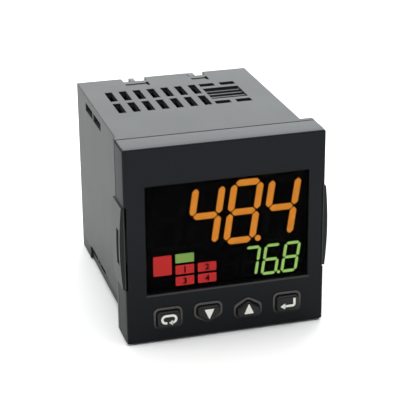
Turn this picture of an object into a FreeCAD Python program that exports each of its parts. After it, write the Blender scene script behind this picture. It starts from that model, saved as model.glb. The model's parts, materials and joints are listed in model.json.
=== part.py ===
import FreeCAD, Part
import math
import os

# A panel-mounted temperature controller with a square front.
# A moulded sleeve goes through the panel. Its flange stops on the panel, and two springy ears on the
# flange hold the front unit. The front unit (bezel, display, keys and circuit boards) slides out of the
# sleeve towards the viewer. A terminal block closes the back of the sleeve.
# X runs to the viewer's right, Y into the panel, Z up. The origin is the centre of the panel's face,
# so the flange's back lies in the plane Y = 0. All sizes are in millimetres.

# Front square and what stands ahead of the panel
front_size = 72.0
bezel_reach = 13.4
flange_thickness = 2.3
seal_thickness = 0.5
seal_gap = 0.1
seal_inset = 0.6
seal_notch_gap = 0.4
outline_radius = 0.9
front_edge_radius = 0.5
front_crown_length = 3.0
front_crown_drop = 0.2

# Sleeve behind the panel
flange_rim = 2.4
sleeve_depth = 72.2
sleeve_wall = 2.0
sleeve_edge_radius = 0.3

# Ears of the sleeve, in the notches of the bezel
ear_half_height = 15.0
ear_inset = 0.5
ear_end_rise = 0.6
ear_bow = 0.8
ear_setback = 0.7
ear_slot_half_height = 6.5
ear_slot_front = 2.4
ear_slot_width = 3.4
notch_wall_gap = 0.6
notch_end_gap = 0.3

# Vents in the top and bottom of the sleeve
vent_columns = 7
vent_left_margin = 8.7
vent_width = 2.75
vent_length = 11.0
vent_rear_margin = 21.1
vent_row_pitch = 13.8
louvre_right_margin = 9.6
louvre_width = 13.75
louvre_gap = 1.555
louvre_count = 4
louvre_slot = 2.4
louvre_pitch = 3.5
louvre_recess = 0.5
short_slot_length = 5.75
short_slot_width = 3.3

# Slots and step low on the sides of the sleeve
side_slot_length = 12.3
side_slot_height = 3.0
side_slot_inset = 4.4
side_step_height = 5.0
side_step_depth = 0.8
side_step_front = 3.0

# Latches between the sleeve and the terminal block, along the sleeve's rear edge
latch_notch_depth = 4.2
latch_notch_width = 9.0
latch_left_x = -11.7
latch_right_x = 12.9
latch_right_notch_width = 6.6
latch_left_tab_width = 2.0
latch_left_tab_shift = -0.8
latch_right_tab_width = 2.55
latch_clearance = 0.15
latch_recess = 0.3
latch_recess_width = 2.0
latch_recess_setback = 8.4
latch_eye = 1.0

# Bezel
front_wall = 2.0
bezel_wall = 1.5
tongue_thickness = 1.1
tongue_half_width = 12.0
tongue_reach = 4.0
slide_clearance = 0.3
lug_half_height = 6.0
lug_width = 2.6
lug_clearance = 0.3
weld = 0.5
aperture_chamfer = 0.35

# Window
window_left_margin = 7.77
window_right_margin = 6.03
window_top_margin = 14.17
window_bottom_margin = 18.03
window_clearance = 0.1
window_recess = 0.3
window_lip = 1.0
window_lip_thickness = 0.7

# Display block and its segments
segment_height = 0.3
digit_count = 4
main_left_margin = 0.465
main_right_margin = 1.645
main_top_margin = 1.885
main_digit_gap = 4.32
main_bar_width = 2.35
main_bar_gap = 0.3
small_right_margin = 1.53
small_bottom_margin = 0.895
small_digit_gap = 2.34
small_bar_rise = 5.3
digit_row_gap = 1.72
small_bar_width = 1.05
small_bar_gap = 0.16
digit_slant = 8.5
main_point_radius = 1.1
small_point_radius = 0.6
point_sides = 8
lamp_width = 6.6
lamp_height = 3.3
lamp_left_margin = 10.83
lamp_bottom_margin = 1.02
lamp_column_pitch = 8.03
lamp_row_pitch = 4.3
lamp_row_count = 3
lamp_digit_gap = 1.555
alarm_left_margin = 2.93
alarm_bottom_margin = 5.57
alarm_width = 6.5
alarm_height = 7.3

# Circuit boards
board_thickness = 1.6
display_board_inset = 1.7
display_block_depth = 6.0
display_block_inset = 0.1
side_board_inset = 2.6
side_board_edge_gap = 0.4
side_board_front_gap = 0.4
side_board_rear_gap = 0.6
card_slot_depth = 9.0
edge_tongue_gap = 1.0
edge_tongue_inset = 1.9
board_slot_clearance = 0.2
guide_rib_width = 1.0
guide_rib_height = 1.9
guide_rib_front = 6.0
guide_rib_rear_gap = 0.4

# Keys
key_names = ("menu", "down", "up", "enter")
key_shapes = ("plain", "down", "up", "plain")
key_left_margin = 14.8
key_right_margin = 13.7
key_bottom_margin = 8.8
key_gap = 6.3
key_height = 5.9
key_corner = 1.2
key_clearance = 0.25
key_rise = 1.9
key_taper = 0.9
key_rim_width = 0.8
key_rim_height = 0.5
key_flange = 0.8
key_flange_thickness = 0.8
key_flange_gap = 0.1
key_stem_width = 2.4
key_shoulder_drop = 2.8
key_travel = 0.5

# Push switches under the keys
switch_body = 6.0
switch_body_height = 3.4
switch_body_rise = 5.4
switch_button_width = 3.0
switch_button_height = 1.0
switch_button_depth = 1.1
switch_button_clearance = 0.1

# Terminal block
block_clearance = 0.3
block_depth = 14.2
block_base_depth = 9.5
block_rim = 1.32
pole_count = 8
pole_length = 11.5
pole_outer_margin = 4.3
barrier_thickness = 1.0
centre_panel_setback = 3.5
centre_well_wall = 1.5
centre_panel_thickness = 2.2
contact_thickness = 0.7
contact_side_gap = 0.51
contact_inner_margin = 1.5
contact_outer_margin = 1.0
contact_tail_thickness = 0.6
contact_tail_width = 2.4
contact_tail_depth = 7.0
contact_play = 0.1
screw_margin = 5.7
screw_head_margin = 0.4
screw_head_height = 1.6
screw_shank_clearance = 0.15
screw_shank_length = 4.5
screw_head_sides = 12
screw_shank_sides = 6
fork_arm_width = 1.2
screw_groove_gap = 0.45
screw_groove_depth = 4.5
clamp_thickness = 0.8

# Parts on the side boards
header_width = 4.0
header_length = 6.0
header_half_height = 15.0
core_limb = 2.5
core_gap = 0.2
core_capacitor_spacing = 20.0
core_margin = 17.2
coil_size = (13.0, 10.0, 11.0)
capacitor_radius = 5.0
capacitor_length = 15.0
capacitor_rear_margin = 14.0
capacitor_margin = 11.2
small_capacitor_radius = 3.0
small_capacitor_length = 10.0
small_capacitor_count = 3
small_capacitor_margin = 7.2
small_capacitor_pitch = 8.0
small_capacitor_y = 13.0
relay_size = (15.0, 20.0, 10.0)
relay_rear_margin = 18.0
relay_count = 3
relay_margin = 11.2
relay_pitch = 14.0
chip_size = (1.6, 10.0, 10.0)
chip_relay_spacing = 19.0
chip_margin = 15.2
chip_pitch = 22.0

# How far a cutter runs past what it cuts, and how near an edge must lie to a plane to count as in it
overshoot = 1.0
edge_match = 0.001

# Worked out from the sizes above
half_front = front_size / 2
half_sleeve = half_front - flange_rim
half_bore = half_sleeve - sleeve_wall
ear_inner = half_front - ear_inset
ear_outer_end = half_front + ear_end_rise
ear_outer_middle = ear_outer_end + ear_bow
front_y = -bezel_reach
flange_front_y = -flange_thickness
bezel_back_y = flange_front_y - seal_gap - seal_thickness
wall_back_y = front_y + front_wall
notch_wall_x = ear_inner - notch_wall_gap
notch_half_height = ear_half_height + notch_end_gap
louvre_right = half_sleeve - louvre_right_margin
louvre_left = louvre_right - louvre_width
vent_first_x = vent_left_margin - half_sleeve
vent_last_x = louvre_left - louvre_gap - vent_width / 2
vent_pitch = (vent_last_x - vent_first_x) / (vent_columns - 1)
vent_rows = (sleeve_depth - vent_rear_margin - vent_row_pitch, sleeve_depth - vent_rear_margin)
side_slot_offset = half_sleeve - side_slot_inset
key_z = key_bottom_margin - half_front
key_pitch = (front_size - key_left_margin - key_right_margin) / (len(key_shapes) - 1)
key_width = key_pitch - key_gap
key_x = [key_left_margin - half_front + index * key_pitch for index in range(len(key_shapes))]
window_left = window_left_margin - half_front
window_right = half_front - window_right_margin
window_low = window_bottom_margin - half_front
window_high = half_front - window_top_margin
key_flange_back_y = wall_back_y + key_flange_gap + key_flange_thickness
window_front_y = front_y + window_recess
window_back_y = wall_back_y + window_lip_thickness
block_face_y = window_back_y + segment_height
display_board_y = block_face_y + display_block_depth
display_board_half = half_bore - display_board_inset
display_board_back_y = display_board_y + board_thickness
side_board_front_y = display_board_back_y + side_board_front_gap
side_board_x = half_bore - side_board_inset
side_board_half_height = half_bore - side_board_edge_gap
side_board_inner = side_board_x - board_thickness / 2
side_board_outer = side_board_x + board_thickness / 2
switch_top_y = display_board_y - switch_body_height
button_top_y = switch_top_y - switch_button_height
block_half = half_bore - block_clearance
block_front = sleeve_depth - block_depth
guide_rib_rear = block_front - guide_rib_rear_gap
base_rear_y = block_front + block_base_depth
edge_tongue_half_height = block_half - edge_tongue_inset
pole_outer_x = block_half - pole_outer_margin
pole_inner_x = pole_outer_x - pole_length
pole_pitch = (2 * (block_half - block_rim) + barrier_thickness) / pole_count
contact_width = pole_pitch - barrier_thickness - 2 * contact_side_gap
contact_inner_x = pole_inner_x + contact_inner_margin
screw_way_width = contact_width - 2 * fork_arm_width
screw_shank_radius = screw_way_width / 2 - screw_shank_clearance
screw_head_radius = contact_width / 2 - screw_head_margin
screw_groove_half = screw_shank_radius + screw_groove_gap
contact_tail_x = pole_outer_x - contact_outer_margin
screw_x = pole_inner_x + screw_margin
contact_rear_y = base_rear_y + contact_thickness
clamp_rear_y = contact_rear_y + clamp_thickness
capacitor_y = block_front - capacitor_rear_margin
capacitor_z = side_board_half_height - capacitor_margin
core_y = capacitor_y - core_capacitor_spacing
core_z = side_board_half_height - core_margin
relay_y = block_front - relay_rear_margin
chip_y = relay_y - chip_relay_spacing
chip_z = side_board_half_height - chip_margin
lamp_x = window_left + lamp_left_margin + lamp_width / 2
lamp_z = window_low + lamp_bottom_margin + lamp_height / 2
lamps_right = lamp_x + lamp_column_pitch + lamp_width / 2
digit_lean = math.tan(math.radians(digit_slant))
small_height = 2 * small_bar_rise + small_bar_width
small_row_width = window_right - small_right_margin - lamps_right - lamp_digit_gap
small_ends = small_bar_width + 2 * digit_lean * small_bar_rise
small_pitch = (small_row_width + small_digit_gap - small_ends) / digit_count
main_low = window_low + small_bottom_margin + small_height + digit_row_gap
main_bar_rise = (window_high - main_top_margin - main_low - main_bar_width) / 2
main_row_width = window_right - main_right_margin - window_left - main_left_margin
main_ends = main_bar_width + 2 * digit_lean * main_bar_rise
main_pitch = (main_row_width + main_digit_gap - main_ends) / digit_count


def point(x, y, z):
    return FreeCAD.Vector(x, y, z)


def block(x_limits, y_limits, z_limits):
    """A plain box between two limits along each axis."""
    low = point(min(x_limits), min(y_limits), min(z_limits))
    high = point(max(x_limits), max(y_limits), max(z_limits))
    size = high - low
    return Part.makeBox(size.x, size.y, size.z, low)


def centred(centre, size):
    """A plain box about its centre."""
    limits = [(c - s / 2, c + s / 2) for c, s in zip(centre, size)]
    return block(*limits)


def rectangle(x, z, width, height):
    """Corners of an upright rectangle, as (x, z) pairs."""
    left = x - width / 2
    right = x + width / 2
    low = z - height / 2
    high = z + height / 2
    return [(left, low), (right, low), (right, high), (left, high)]


def ring(x, z, radius, count):
    """Corners of a regular outline with this many sides, for small round pieces that repeat."""
    turns = [math.tau * (index + 0.5) / count for index in range(count)]
    return [(x + radius * math.cos(turn), z + radius * math.sin(turn)) for turn in turns]


def rounded_outline(corners, radius, y):
    """A closed outline in the plane at depth y, with every corner rounded by the same radius."""
    corner_points = [point(x, y, z) for x, z in corners]
    if radius <= 0:
        return Part.makePolygon(corner_points + corner_points[:1])
    starts = []
    arcs = []
    ends = []
    for index, corner in enumerate(corner_points):
        to_last = (corner_points[index - 1] - corner).normalize()
        to_next = (corner_points[(index + 1) % len(corner_points)] - corner).normalize()
        half_angle = to_last.getAngle(to_next) / 2
        reach = radius / math.tan(half_angle)
        bisector = (to_last + to_next).normalize()
        middle = corner + bisector * (radius / math.sin(half_angle) - radius)
        starts.append(corner + to_last * reach)
        ends.append(corner + to_next * reach)
        arcs.append(Part.Arc(starts[-1], middle, ends[-1]).toShape())
    edges = []
    for index, arc in enumerate(arcs):
        edges.append(arc)
        following = (index + 1) % len(arcs)
        if (starts[following] - ends[index]).Length > edge_match:
            edges.append(Part.LineSegment(ends[index], starts[following]).toShape())
    return Part.Wire(edges)


def prism(corners, radius, y_limits):
    """An outline carried along Y from one depth to another."""
    outline = rounded_outline(corners, radius, min(y_limits))
    return Part.Face(outline).extrude(point(0, max(y_limits) - min(y_limits), 0))


def taper(base_corners, base_y, top_corners, top_y, base_radius=0, top_radius=0):
    """A solid whose outline changes evenly between two depths."""
    base = rounded_outline(base_corners, base_radius, base_y)
    top = rounded_outline(top_corners, top_radius, top_y)
    return Part.makeLoft([base, top], True, True)


def fused(shapes):
    """One solid out of shapes that meet, with its seams taken out."""
    return shapes[0].multiFuse(shapes[1:]).removeSplitter()


def group(shapes):
    """Separate solids of one kind, kept together."""
    return Part.makeCompound(shapes)


def flipped(shape, normal):
    """The mirror image across the plane through the origin with this normal."""
    return shape.mirror(point(0, 0, 0), normal)


def with_mirror(shapes, normal):
    return shapes + [flipped(shape, normal) for shape in shapes]


left_right = point(1, 0, 0)
up_down = point(0, 0, 1)


def front_outline_edges(shape, y):
    """The edges that lie in the plane at depth y."""
    return [edge for edge in shape.Edges if all(abs(v.Y - y) < edge_match for v in edge.Vertexes)]


def ear():
    """The right ear: a tongue with a bowed outer face, slotted for the bezel's lug."""
    front = front_y + ear_setback
    low_inner = point(ear_inner, front, -ear_half_height)
    low_outer = point(ear_outer_end, front, -ear_half_height)
    high_outer = point(ear_outer_end, front, ear_half_height)
    high_inner = point(ear_inner, front, ear_half_height)
    bow = Part.Arc(low_outer, point(ear_outer_middle, front, 0), high_outer).toShape()
    sides = [
        Part.LineSegment(low_inner, low_outer).toShape(),
        bow,
        Part.LineSegment(high_outer, high_inner).toShape(),
        Part.LineSegment(high_inner, low_inner).toShape(),
    ]
    tongue = Part.Face(Part.Wire(sides)).extrude(point(0, -front, 0))
    slot_front = front_y + ear_slot_front
    slot_x = (ear_inner - overshoot, ear_outer_middle + overshoot)
    slot_limits = (slot_front, slot_front + ear_slot_width)
    slot = block(slot_x, slot_limits, (-ear_slot_half_height, ear_slot_half_height))
    return tongue.cut(slot)


def top_vents():
    """Cutters for the vent slots and the louvre field in the top wall."""
    through = (half_bore - overshoot, half_sleeve + overshoot)
    cutters = []
    for row_y in vent_rows:
        for column in range(vent_columns):
            x = vent_first_x + column * vent_pitch
            x_limits = (x - vent_width / 2, x + vent_width / 2)
            cutters.append(block(x_limits, (row_y - vent_length / 2, row_y + vent_length / 2), through))
    field_centre = sum(vent_rows) / 2
    field_half = ((louvre_count - 1) * louvre_pitch + louvre_slot) / 2
    field_y = (field_centre - field_half, field_centre + field_half)
    field_z = (half_sleeve - louvre_recess, half_sleeve + overshoot)
    cutters.append(block((louvre_left, louvre_right), field_y, field_z))
    for index in range(louvre_count):
        y = field_centre + (index - (louvre_count - 1) / 2) * louvre_pitch
        slot_y = (y - louvre_slot / 2, y + louvre_slot / 2)
        cutters.append(block((louvre_left, louvre_right), slot_y, through))
    front_edge = vent_rows[0] - vent_length / 2
    rear_edge = vent_rows[1] + vent_length / 2
    front_pair = (front_edge, front_edge + short_slot_width)
    rear_pair = (rear_edge - short_slot_width, rear_edge)
    for slot_y in (front_pair, rear_pair):
        cutters.append(block((louvre_left, louvre_left + short_slot_length), slot_y, through))
        cutters.append(block((louvre_right - short_slot_length, louvre_right), slot_y, through))
    return cutters


def latch_cutters():
    """Cutters for the notches, shallow recesses and eyes of the latches, in the top wall."""
    through = (half_bore - overshoot, half_sleeve + overshoot)
    notch_y = (sleeve_depth - latch_notch_depth, sleeve_depth + overshoot)
    recess_centre = sleeve_depth - latch_recess_setback
    recess_y = (recess_centre - latch_recess_width / 2, recess_centre + latch_recess_width / 2)
    recess_z = (half_sleeve - latch_recess, half_sleeve + overshoot)
    eye_y = (recess_y[0] - latch_eye, recess_y[1] + latch_eye)
    cutters = []
    for x, width in ((latch_left_x, latch_notch_width), (latch_right_x, latch_right_notch_width)):
        x_limits = (x - width / 2, x + width / 2)
        cutters.append(block(x_limits, notch_y, through))
        cutters.append(block(x_limits, recess_y, recess_z))
        cutters.append(block((x_limits[1] - latch_eye, x_limits[1]), eye_y, through))
    return cutters


def case_shell():
    """The sleeve, its flange and its ears, moulded in one."""
    tube_y = (flange_front_y, sleeve_depth)
    tube = prism(rectangle(0, 0, 2 * half_sleeve, 2 * half_sleeve), sleeve_edge_radius, tube_y)
    flange = prism(rectangle(0, 0, front_size, front_size), outline_radius, (flange_front_y, 0))
    body = fused([tube, flange] + with_mirror([ear()], left_right))
    bore_y = (flange_front_y - overshoot, sleeve_depth + overshoot)
    body = body.cut(block((-half_bore, half_bore), bore_y, (-half_bore, half_bore)))
    cutters = with_mirror(top_vents() + latch_cutters(), up_down)
    for row_y in vent_rows:
        slot_rear = row_y + vent_length / 2
        slot_y = (slot_rear - side_slot_length, slot_rear)
        for level in (-side_slot_offset, side_slot_offset):
            slot_z = (level - side_slot_height / 2, level + side_slot_height / 2)
            slot = block((half_bore - overshoot, half_sleeve + overshoot), slot_y, slot_z)
            cutters += with_mirror([slot], left_right)
    step_x = (half_sleeve - side_step_depth, half_sleeve + overshoot)
    step_y = (side_step_front, guide_rib_rear)
    step = block(step_x, step_y, (-half_sleeve - overshoot, -half_sleeve + side_step_height))
    cutters += with_mirror([step], left_right)
    body = body.cut(group(cutters))
    rib_x = side_board_inner - board_slot_clearance
    rib_y = (guide_rib_front, guide_rib_rear)
    rib = block((rib_x - guide_rib_width, rib_x), rib_y, (half_bore - guide_rib_height, half_bore))
    ribs = with_mirror(with_mirror([rib], left_right), up_down)
    return fused([body] + ribs)


def latch_tabs():
    """The terminal block's tabs, which stand up in the notches of the sleeve."""
    tab_y = (sleeve_depth - latch_notch_depth + latch_clearance, sleeve_depth)
    tab_z = (block_half - weld, half_sleeve)
    left_x = latch_left_x + latch_left_tab_shift
    left = (left_x - latch_left_tab_width / 2, left_x + latch_left_tab_width / 2)
    right_start = latch_right_x - latch_right_notch_width / 2 + latch_clearance
    right = (right_start, right_start + latch_right_tab_width)
    return [block(left, tab_y, tab_z), block(right, tab_y, tab_z)]


def pole_levels():
    return [(index - (pole_count - 1) / 2) * pole_pitch for index in range(pole_count)]


def rear_block():
    """The moulded terminal block: two columns of poles with barriers, and a centre panel."""
    base = block((-block_half, block_half), (block_front, base_rear_y), (-block_half, block_half))
    centre_gap_y = (block_front - overshoot, base_rear_y - centre_panel_setback - centre_panel_thickness)
    centre_back_y = (base_rear_y - centre_panel_setback, sleeve_depth + overshoot)
    centre_x = (centre_well_wall - pole_inner_x, pole_inner_x - centre_well_wall)
    centre_z = (-block_half + sleeve_wall, block_half - sleeve_wall)
    wells = [block(centre_x, centre_gap_y, centre_z), block(centre_x, centre_back_y, centre_z)]
    shell = base.cut(group(wells))
    outer_x = (pole_outer_x, block_half)
    side_wall = block(outer_x, (base_rear_y, sleeve_depth), (-block_half, block_half))
    solids = with_mirror([side_wall], left_right)
    for index in range(pole_count + 1):
        level = (index - pole_count / 2) * pole_pitch
        z_limits = (level - barrier_thickness / 2, level + barrier_thickness / 2)
        barrier = block((pole_inner_x, pole_outer_x), (base_rear_y, sleeve_depth), z_limits)
        solids += with_mirror([barrier], left_right)
    rim_z = (block_half - block_rim, block_half)
    rim = block((-block_half, block_half), (base_rear_y, sleeve_depth), rim_z)
    solids += with_mirror([rim] + latch_tabs(), up_down)
    body = fused([shell] + solids)
    slot_half = board_thickness / 2 + board_slot_clearance
    slot_z = edge_tongue_half_height + board_slot_clearance
    slot_y = (block_front - overshoot, block_front + card_slot_depth)
    cutters = [block((side_board_x - slot_half, side_board_x + slot_half), slot_y, (-slot_z, slot_z))]
    groove_x = (screw_x - screw_groove_half, screw_x + screw_groove_half)
    groove_y = (base_rear_y - screw_groove_depth, base_rear_y)
    for level in pole_levels():
        tail_half = contact_tail_width / 2 + contact_play
        tail_x = (contact_tail_x - contact_play, side_board_x - slot_half)
        tail_y = (base_rear_y - contact_tail_depth - contact_play, base_rear_y)
        cutters.append(block(tail_x, tail_y, (level - tail_half, level + tail_half)))
        cutters.append(block(groove_x, groove_y, (level - screw_groove_half, level + screw_groove_half)))
    return body.cut(group(with_mirror(cutters, left_right)))


def screw_way(level):
    """Cutter for the fork's open way, which the screw's shank stands in."""
    half = screw_way_width / 2
    way_y = (base_rear_y - overshoot, clamp_rear_y + overshoot)
    return block((screw_x - contact_width, screw_x + half), way_y, (level - half, level + half))


def contact(level):
    """A stamped terminal: a forked plate under the screw, and a tail that reaches the board's edge."""
    width_z = (level - contact_width / 2, level + contact_width / 2)
    tail_z = (level - contact_tail_width / 2, level + contact_tail_width / 2)
    tail_far_x = contact_tail_x + contact_tail_thickness
    tail_end_y = base_rear_y - contact_tail_depth
    plate = block((contact_inner_x, contact_tail_x), (base_rear_y, contact_rear_y), width_z)
    tail = block((contact_tail_x, tail_far_x), (tail_end_y, contact_rear_y), tail_z)
    foot_x = side_board_inner - board_slot_clearance
    foot = block((tail_far_x, foot_x), (tail_end_y, tail_end_y + contact_tail_thickness), tail_z)
    return fused([plate, tail, foot]).cut(screw_way(level))


def clamp_plate(level):
    """The square forked plate that presses the wire under the screw's head."""
    centre = (screw_x, (contact_rear_y + clamp_rear_y) / 2, level)
    plate = centred(centre, (contact_width, clamp_thickness, contact_width))
    return plate.cut(screw_way(level))


def terminal_screw(level):
    """A screw with its head on the clamp plate."""
    head_corners = ring(screw_x, level, screw_head_radius, screw_head_sides)
    head = prism(head_corners, 0, (clamp_rear_y, clamp_rear_y + screw_head_height))
    shank_corners = ring(screw_x, level, screw_shank_radius, screw_shank_sides)
    shank = prism(shank_corners, 0, (clamp_rear_y - screw_shank_length, clamp_rear_y))
    return fused([head, shank])


def both_columns(make_piece):
    """One piece at each pole of the two columns."""
    return group(with_mirror([make_piece(level) for level in pole_levels()], left_right))


def key_corners(shape, x, grow):
    """Corners of a key's outline. A key is a plain rectangle, or has a point below or above."""
    half_w = key_width / 2 + grow
    half_h = key_height / 2 + grow
    if shape == "plain":
        return rectangle(x, key_z, 2 * half_w, 2 * half_h)
    left = x - half_w
    right = x + half_w
    shoulder = half_h - key_shoulder_drop
    rising = [(left, -half_h), (right, -half_h), (right, shoulder), (x, half_h), (left, shoulder)]
    if shape == "up":
        return [(corner_x, key_z + corner_z) for corner_x, corner_z in rising]
    return [(corner_x, key_z - corner_z) for corner_x, corner_z in rising[::-1]]


def key_cap(shape, x):
    """A key cap that tapers above the face, with a flange behind the wall and a stem to its switch."""
    flange_y = key_flange_back_y - key_flange_thickness
    top_y = front_y - key_rise
    crown = prism(key_corners(shape, x, 0), key_corner, (top_y, flange_y))
    crown = crown.makeChamfer(key_taper, front_outline_edges(crown, top_y))
    flange = prism(key_corners("plain", x, key_flange), 0, (flange_y, key_flange_back_y))
    stem_centre = (x, (key_flange_back_y + button_top_y) / 2, key_z)
    stem = centred(stem_centre, (key_stem_width, button_top_y - key_flange_back_y, key_stem_width))
    return fused([crown, flange, stem])


def switch_button(x):
    """The small square button of a push switch."""
    back_y = switch_top_y + switch_button_depth - key_travel
    size = (switch_button_width, back_y - button_top_y, switch_button_width)
    return centred((x, (button_top_y + back_y) / 2, key_z), size)


def switch_bodies():
    """The four push switches on the display board."""
    bodies = []
    for x in key_x:
        centre = (x, (switch_top_y + display_board_y) / 2, key_z)
        body = centred(centre, (switch_body, switch_body_height, switch_body_rise))
        well_width = switch_button_width + 2 * switch_button_clearance
        well_depth = switch_button_depth + switch_button_clearance
        bodies.append(body.cut(centred((x, switch_top_y, key_z), (well_width, 2 * well_depth, well_width))))
    return group(bodies)


def window_corners(grow):
    centre_x = (window_left + window_right) / 2
    centre_z = (window_low + window_high) / 2
    width = window_right - window_left + 2 * grow
    height = window_high - window_low + 2 * grow
    return rectangle(centre_x, centre_z, width, height)


def front_bezel():
    """The moulded front: a shallow cap with a window, key holes, side notches and four tongues."""
    full = rectangle(0, 0, front_size, front_size)
    crown_size = front_size - 2 * front_crown_drop
    crown_corners = rectangle(0, 0, crown_size, crown_size)
    crown_y = front_y + front_crown_length
    crown_radius = outline_radius - front_crown_drop
    rim = prism(full, outline_radius, (crown_y, bezel_back_y))
    body = fused([rim, taper(full, crown_y, crown_corners, front_y, outline_radius, crown_radius)])
    body = body.makeFillet(front_edge_radius, front_outline_edges(body, front_y))
    rims = []
    holes = []
    hole_y = (front_y - overshoot, wall_back_y + overshoot)
    for shape, x in zip(key_shapes, key_x):
        rim_corners = key_corners(shape, x, key_clearance + key_rim_width)
        rims.append(prism(rim_corners, key_corner + key_rim_width, (front_y - key_rim_height, wall_back_y)))
        holes.append(prism(key_corners(shape, x, key_clearance), key_corner + key_clearance, hole_y))
    body = fused([body] + rims)
    cavity_x = notch_wall_x - bezel_wall
    cavity_z = half_front - bezel_wall
    cavity = block((-cavity_x, cavity_x), (wall_back_y, bezel_back_y + overshoot), (-cavity_z, cavity_z))
    notch_x = (notch_wall_x, half_front + overshoot)
    notch_y = (front_y - overshoot, bezel_back_y + overshoot)
    notch = block(notch_x, notch_y, (-notch_half_height, notch_half_height))
    aperture = prism(window_corners(window_clearance), 0, hole_y)
    flare_corners = window_corners(window_clearance + aperture_chamfer)
    flare = taper(window_corners(window_clearance), front_y + aperture_chamfer, flare_corners, front_y)
    cutters = [cavity, aperture, flare] + with_mirror([notch], left_right) + holes
    body = body.cut(group(cutters))
    tongue_outer = half_bore - slide_clearance
    tongue_inner = tongue_outer - tongue_thickness
    tongue_x = (-tongue_half_width, tongue_half_width)
    tongue_front_y = key_flange_back_y + key_travel + slide_clearance
    tongue = block(tongue_x, (tongue_front_y, flange_front_y + tongue_reach), (tongue_inner, tongue_outer))
    root_y = (tongue_front_y, tongue_front_y + tongue_thickness)
    root = block(tongue_x, root_y, (tongue_inner, cavity_z + weld))
    tongues = with_mirror([tongue, root], up_down)
    slot_front = front_y + ear_slot_front
    lug_y = (slot_front + (ear_slot_width - lug_width) / 2, slot_front + (ear_slot_width + lug_width) / 2)
    lug_x = (notch_wall_x - weld, ear_inner - lug_clearance)
    lug = block(lug_x, lug_y, (-lug_half_height, lug_half_height))
    return fused([body] + tongues + with_mirror([lug], left_right))


def front_seal():
    """The flat gasket behind the bezel's rim."""
    outer_z = half_front - seal_inset
    outer_x = notch_wall_x - seal_notch_gap
    inner_x = notch_wall_x - bezel_wall
    inner_z = half_front - bezel_wall
    y_limits = (bezel_back_y, bezel_back_y + seal_thickness)
    sheet = prism(rectangle(0, 0, 2 * outer_x, 2 * outer_z), 0, y_limits)
    return sheet.cut(block((-inner_x, inner_x), (bezel_back_y - overshoot, 0), (-inner_z, inner_z)))


def window_lens():
    """The smoked window: a plate in the bezel's aperture, with a wider lip behind the wall."""
    plate = prism(window_corners(0), 0, (window_front_y, wall_back_y))
    lip = prism(window_corners(window_lip), 0, (wall_back_y, window_back_y))
    return fused([plate, lip])


def display_block():
    """The block behind the window that holds the light cells."""
    y_limits = (block_face_y, display_board_y)
    return prism(window_corners(-display_block_inset), 0, y_limits)


def slanted(corners, centre_x, centre_z):
    """Corners leaned over by the digits' slant about the digit's centre."""
    return [(centre_x + x + digit_lean * z, centre_z + z) for x, z in corners]


def bar_corners(x, z, half_length, half_width, upright):
    """A bar with pointed ends, lying or upright."""
    shoulder = half_length - half_width
    lying = [
        (-half_length, 0),
        (-shoulder, -half_width),
        (shoulder, -half_width),
        (half_length, 0),
        (shoulder, half_width),
        (-shoulder, half_width),
    ]
    if upright:
        return [(x - dz, z + dx) for dx, dz in lying]
    return [(x + dx, z + dz) for dx, dz in lying]


def digit(centre_x, centre_z, spacing, rise, width, gap):
    """The seven segments of one digit, as thin slabs on the display block's face."""
    side = spacing / 2
    lying = [(0, -rise), (0, 0), (0, rise)]
    upright = [(-side, -rise / 2), (side, -rise / 2), (-side, rise / 2), (side, rise / 2)]
    outlines = [bar_corners(x, z, side - gap, width / 2, False) for x, z in lying]
    outlines += [bar_corners(x, z, rise / 2 - gap, width / 2, True) for x, z in upright]
    y_limits = (window_back_y, block_face_y)
    return [prism(slanted(outline, centre_x, centre_z), 0, y_limits) for outline in outlines]


def digit_row(right_x, low_z, pitch, spacing, rise, width, gap, dot_radius):
    """A row of digits that ends at right_x and stands on low_z, with a point after each but the last."""
    solids = []
    last_x = right_x - spacing / 2 - width / 2 - digit_lean * rise
    z = low_z + rise + width / 2
    for index in range(digit_count):
        x = last_x - (digit_count - 1 - index) * pitch
        solids += digit(x, z, spacing, rise, width, gap)
        if index < digit_count - 1:
            dot_x = x + pitch / 2 - digit_lean * rise
            dot = ring(dot_x, z - rise, dot_radius, point_sides)
            solids.append(prism(dot, 0, (window_back_y, block_face_y)))
    return group(solids)


def lamp(x, z, width, height):
    """One lit field, as a thin slab on the display block's face."""
    return prism(rectangle(x, z, width, height), 0, (window_back_y, block_face_y))


def unit_lamp():
    """The field above the numbered ones."""
    return lamp(lamp_x, lamp_z + (lamp_row_count - 1) * lamp_row_pitch, lamp_width, lamp_height)


def alarm_lamp():
    """The square field to the left of the numbered ones."""
    x = window_left + alarm_left_margin + alarm_width / 2
    return lamp(x, window_low + alarm_bottom_margin + alarm_height / 2, alarm_width, alarm_height)


def channel_lamps():
    """The four numbered fields, in two rows of two."""
    fields = []
    for row in range(lamp_row_count - 1):
        for column in (0, 1):
            x = lamp_x + column * lamp_column_pitch
            fields.append(lamp(x, lamp_z + row * lamp_row_pitch, lamp_width, lamp_height))
    return group(fields)


def display_board():
    size = 2 * display_board_half
    return centred((0, (display_board_y + display_board_back_y) / 2, 0), (size, board_thickness, size))


def side_board(side):
    """A board along one side: full height in the guides, and a narrower tongue in the card slot."""
    x_limits = (side * side_board_inner, side * side_board_outer)
    shoulder_y = block_front - side_board_rear_gap
    main_z = (-side_board_half_height, side_board_half_height)
    main = block(x_limits, (side_board_front_y, shoulder_y), main_z)
    tongue_y = (shoulder_y, block_front + card_slot_depth - edge_tongue_gap)
    tongue = block(x_limits, tongue_y, (-edge_tongue_half_height, edge_tongue_half_height))
    return fused([main, tongue])


def board_header(side):
    """The right-angle connector between the display board and a side board."""
    x_limits = (side * side_board_inner, side * (side_board_inner - header_width))
    y_limits = (display_board_back_y, display_board_back_y + header_length)
    return block(x_limits, y_limits, (-header_half_height, header_half_height))


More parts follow.
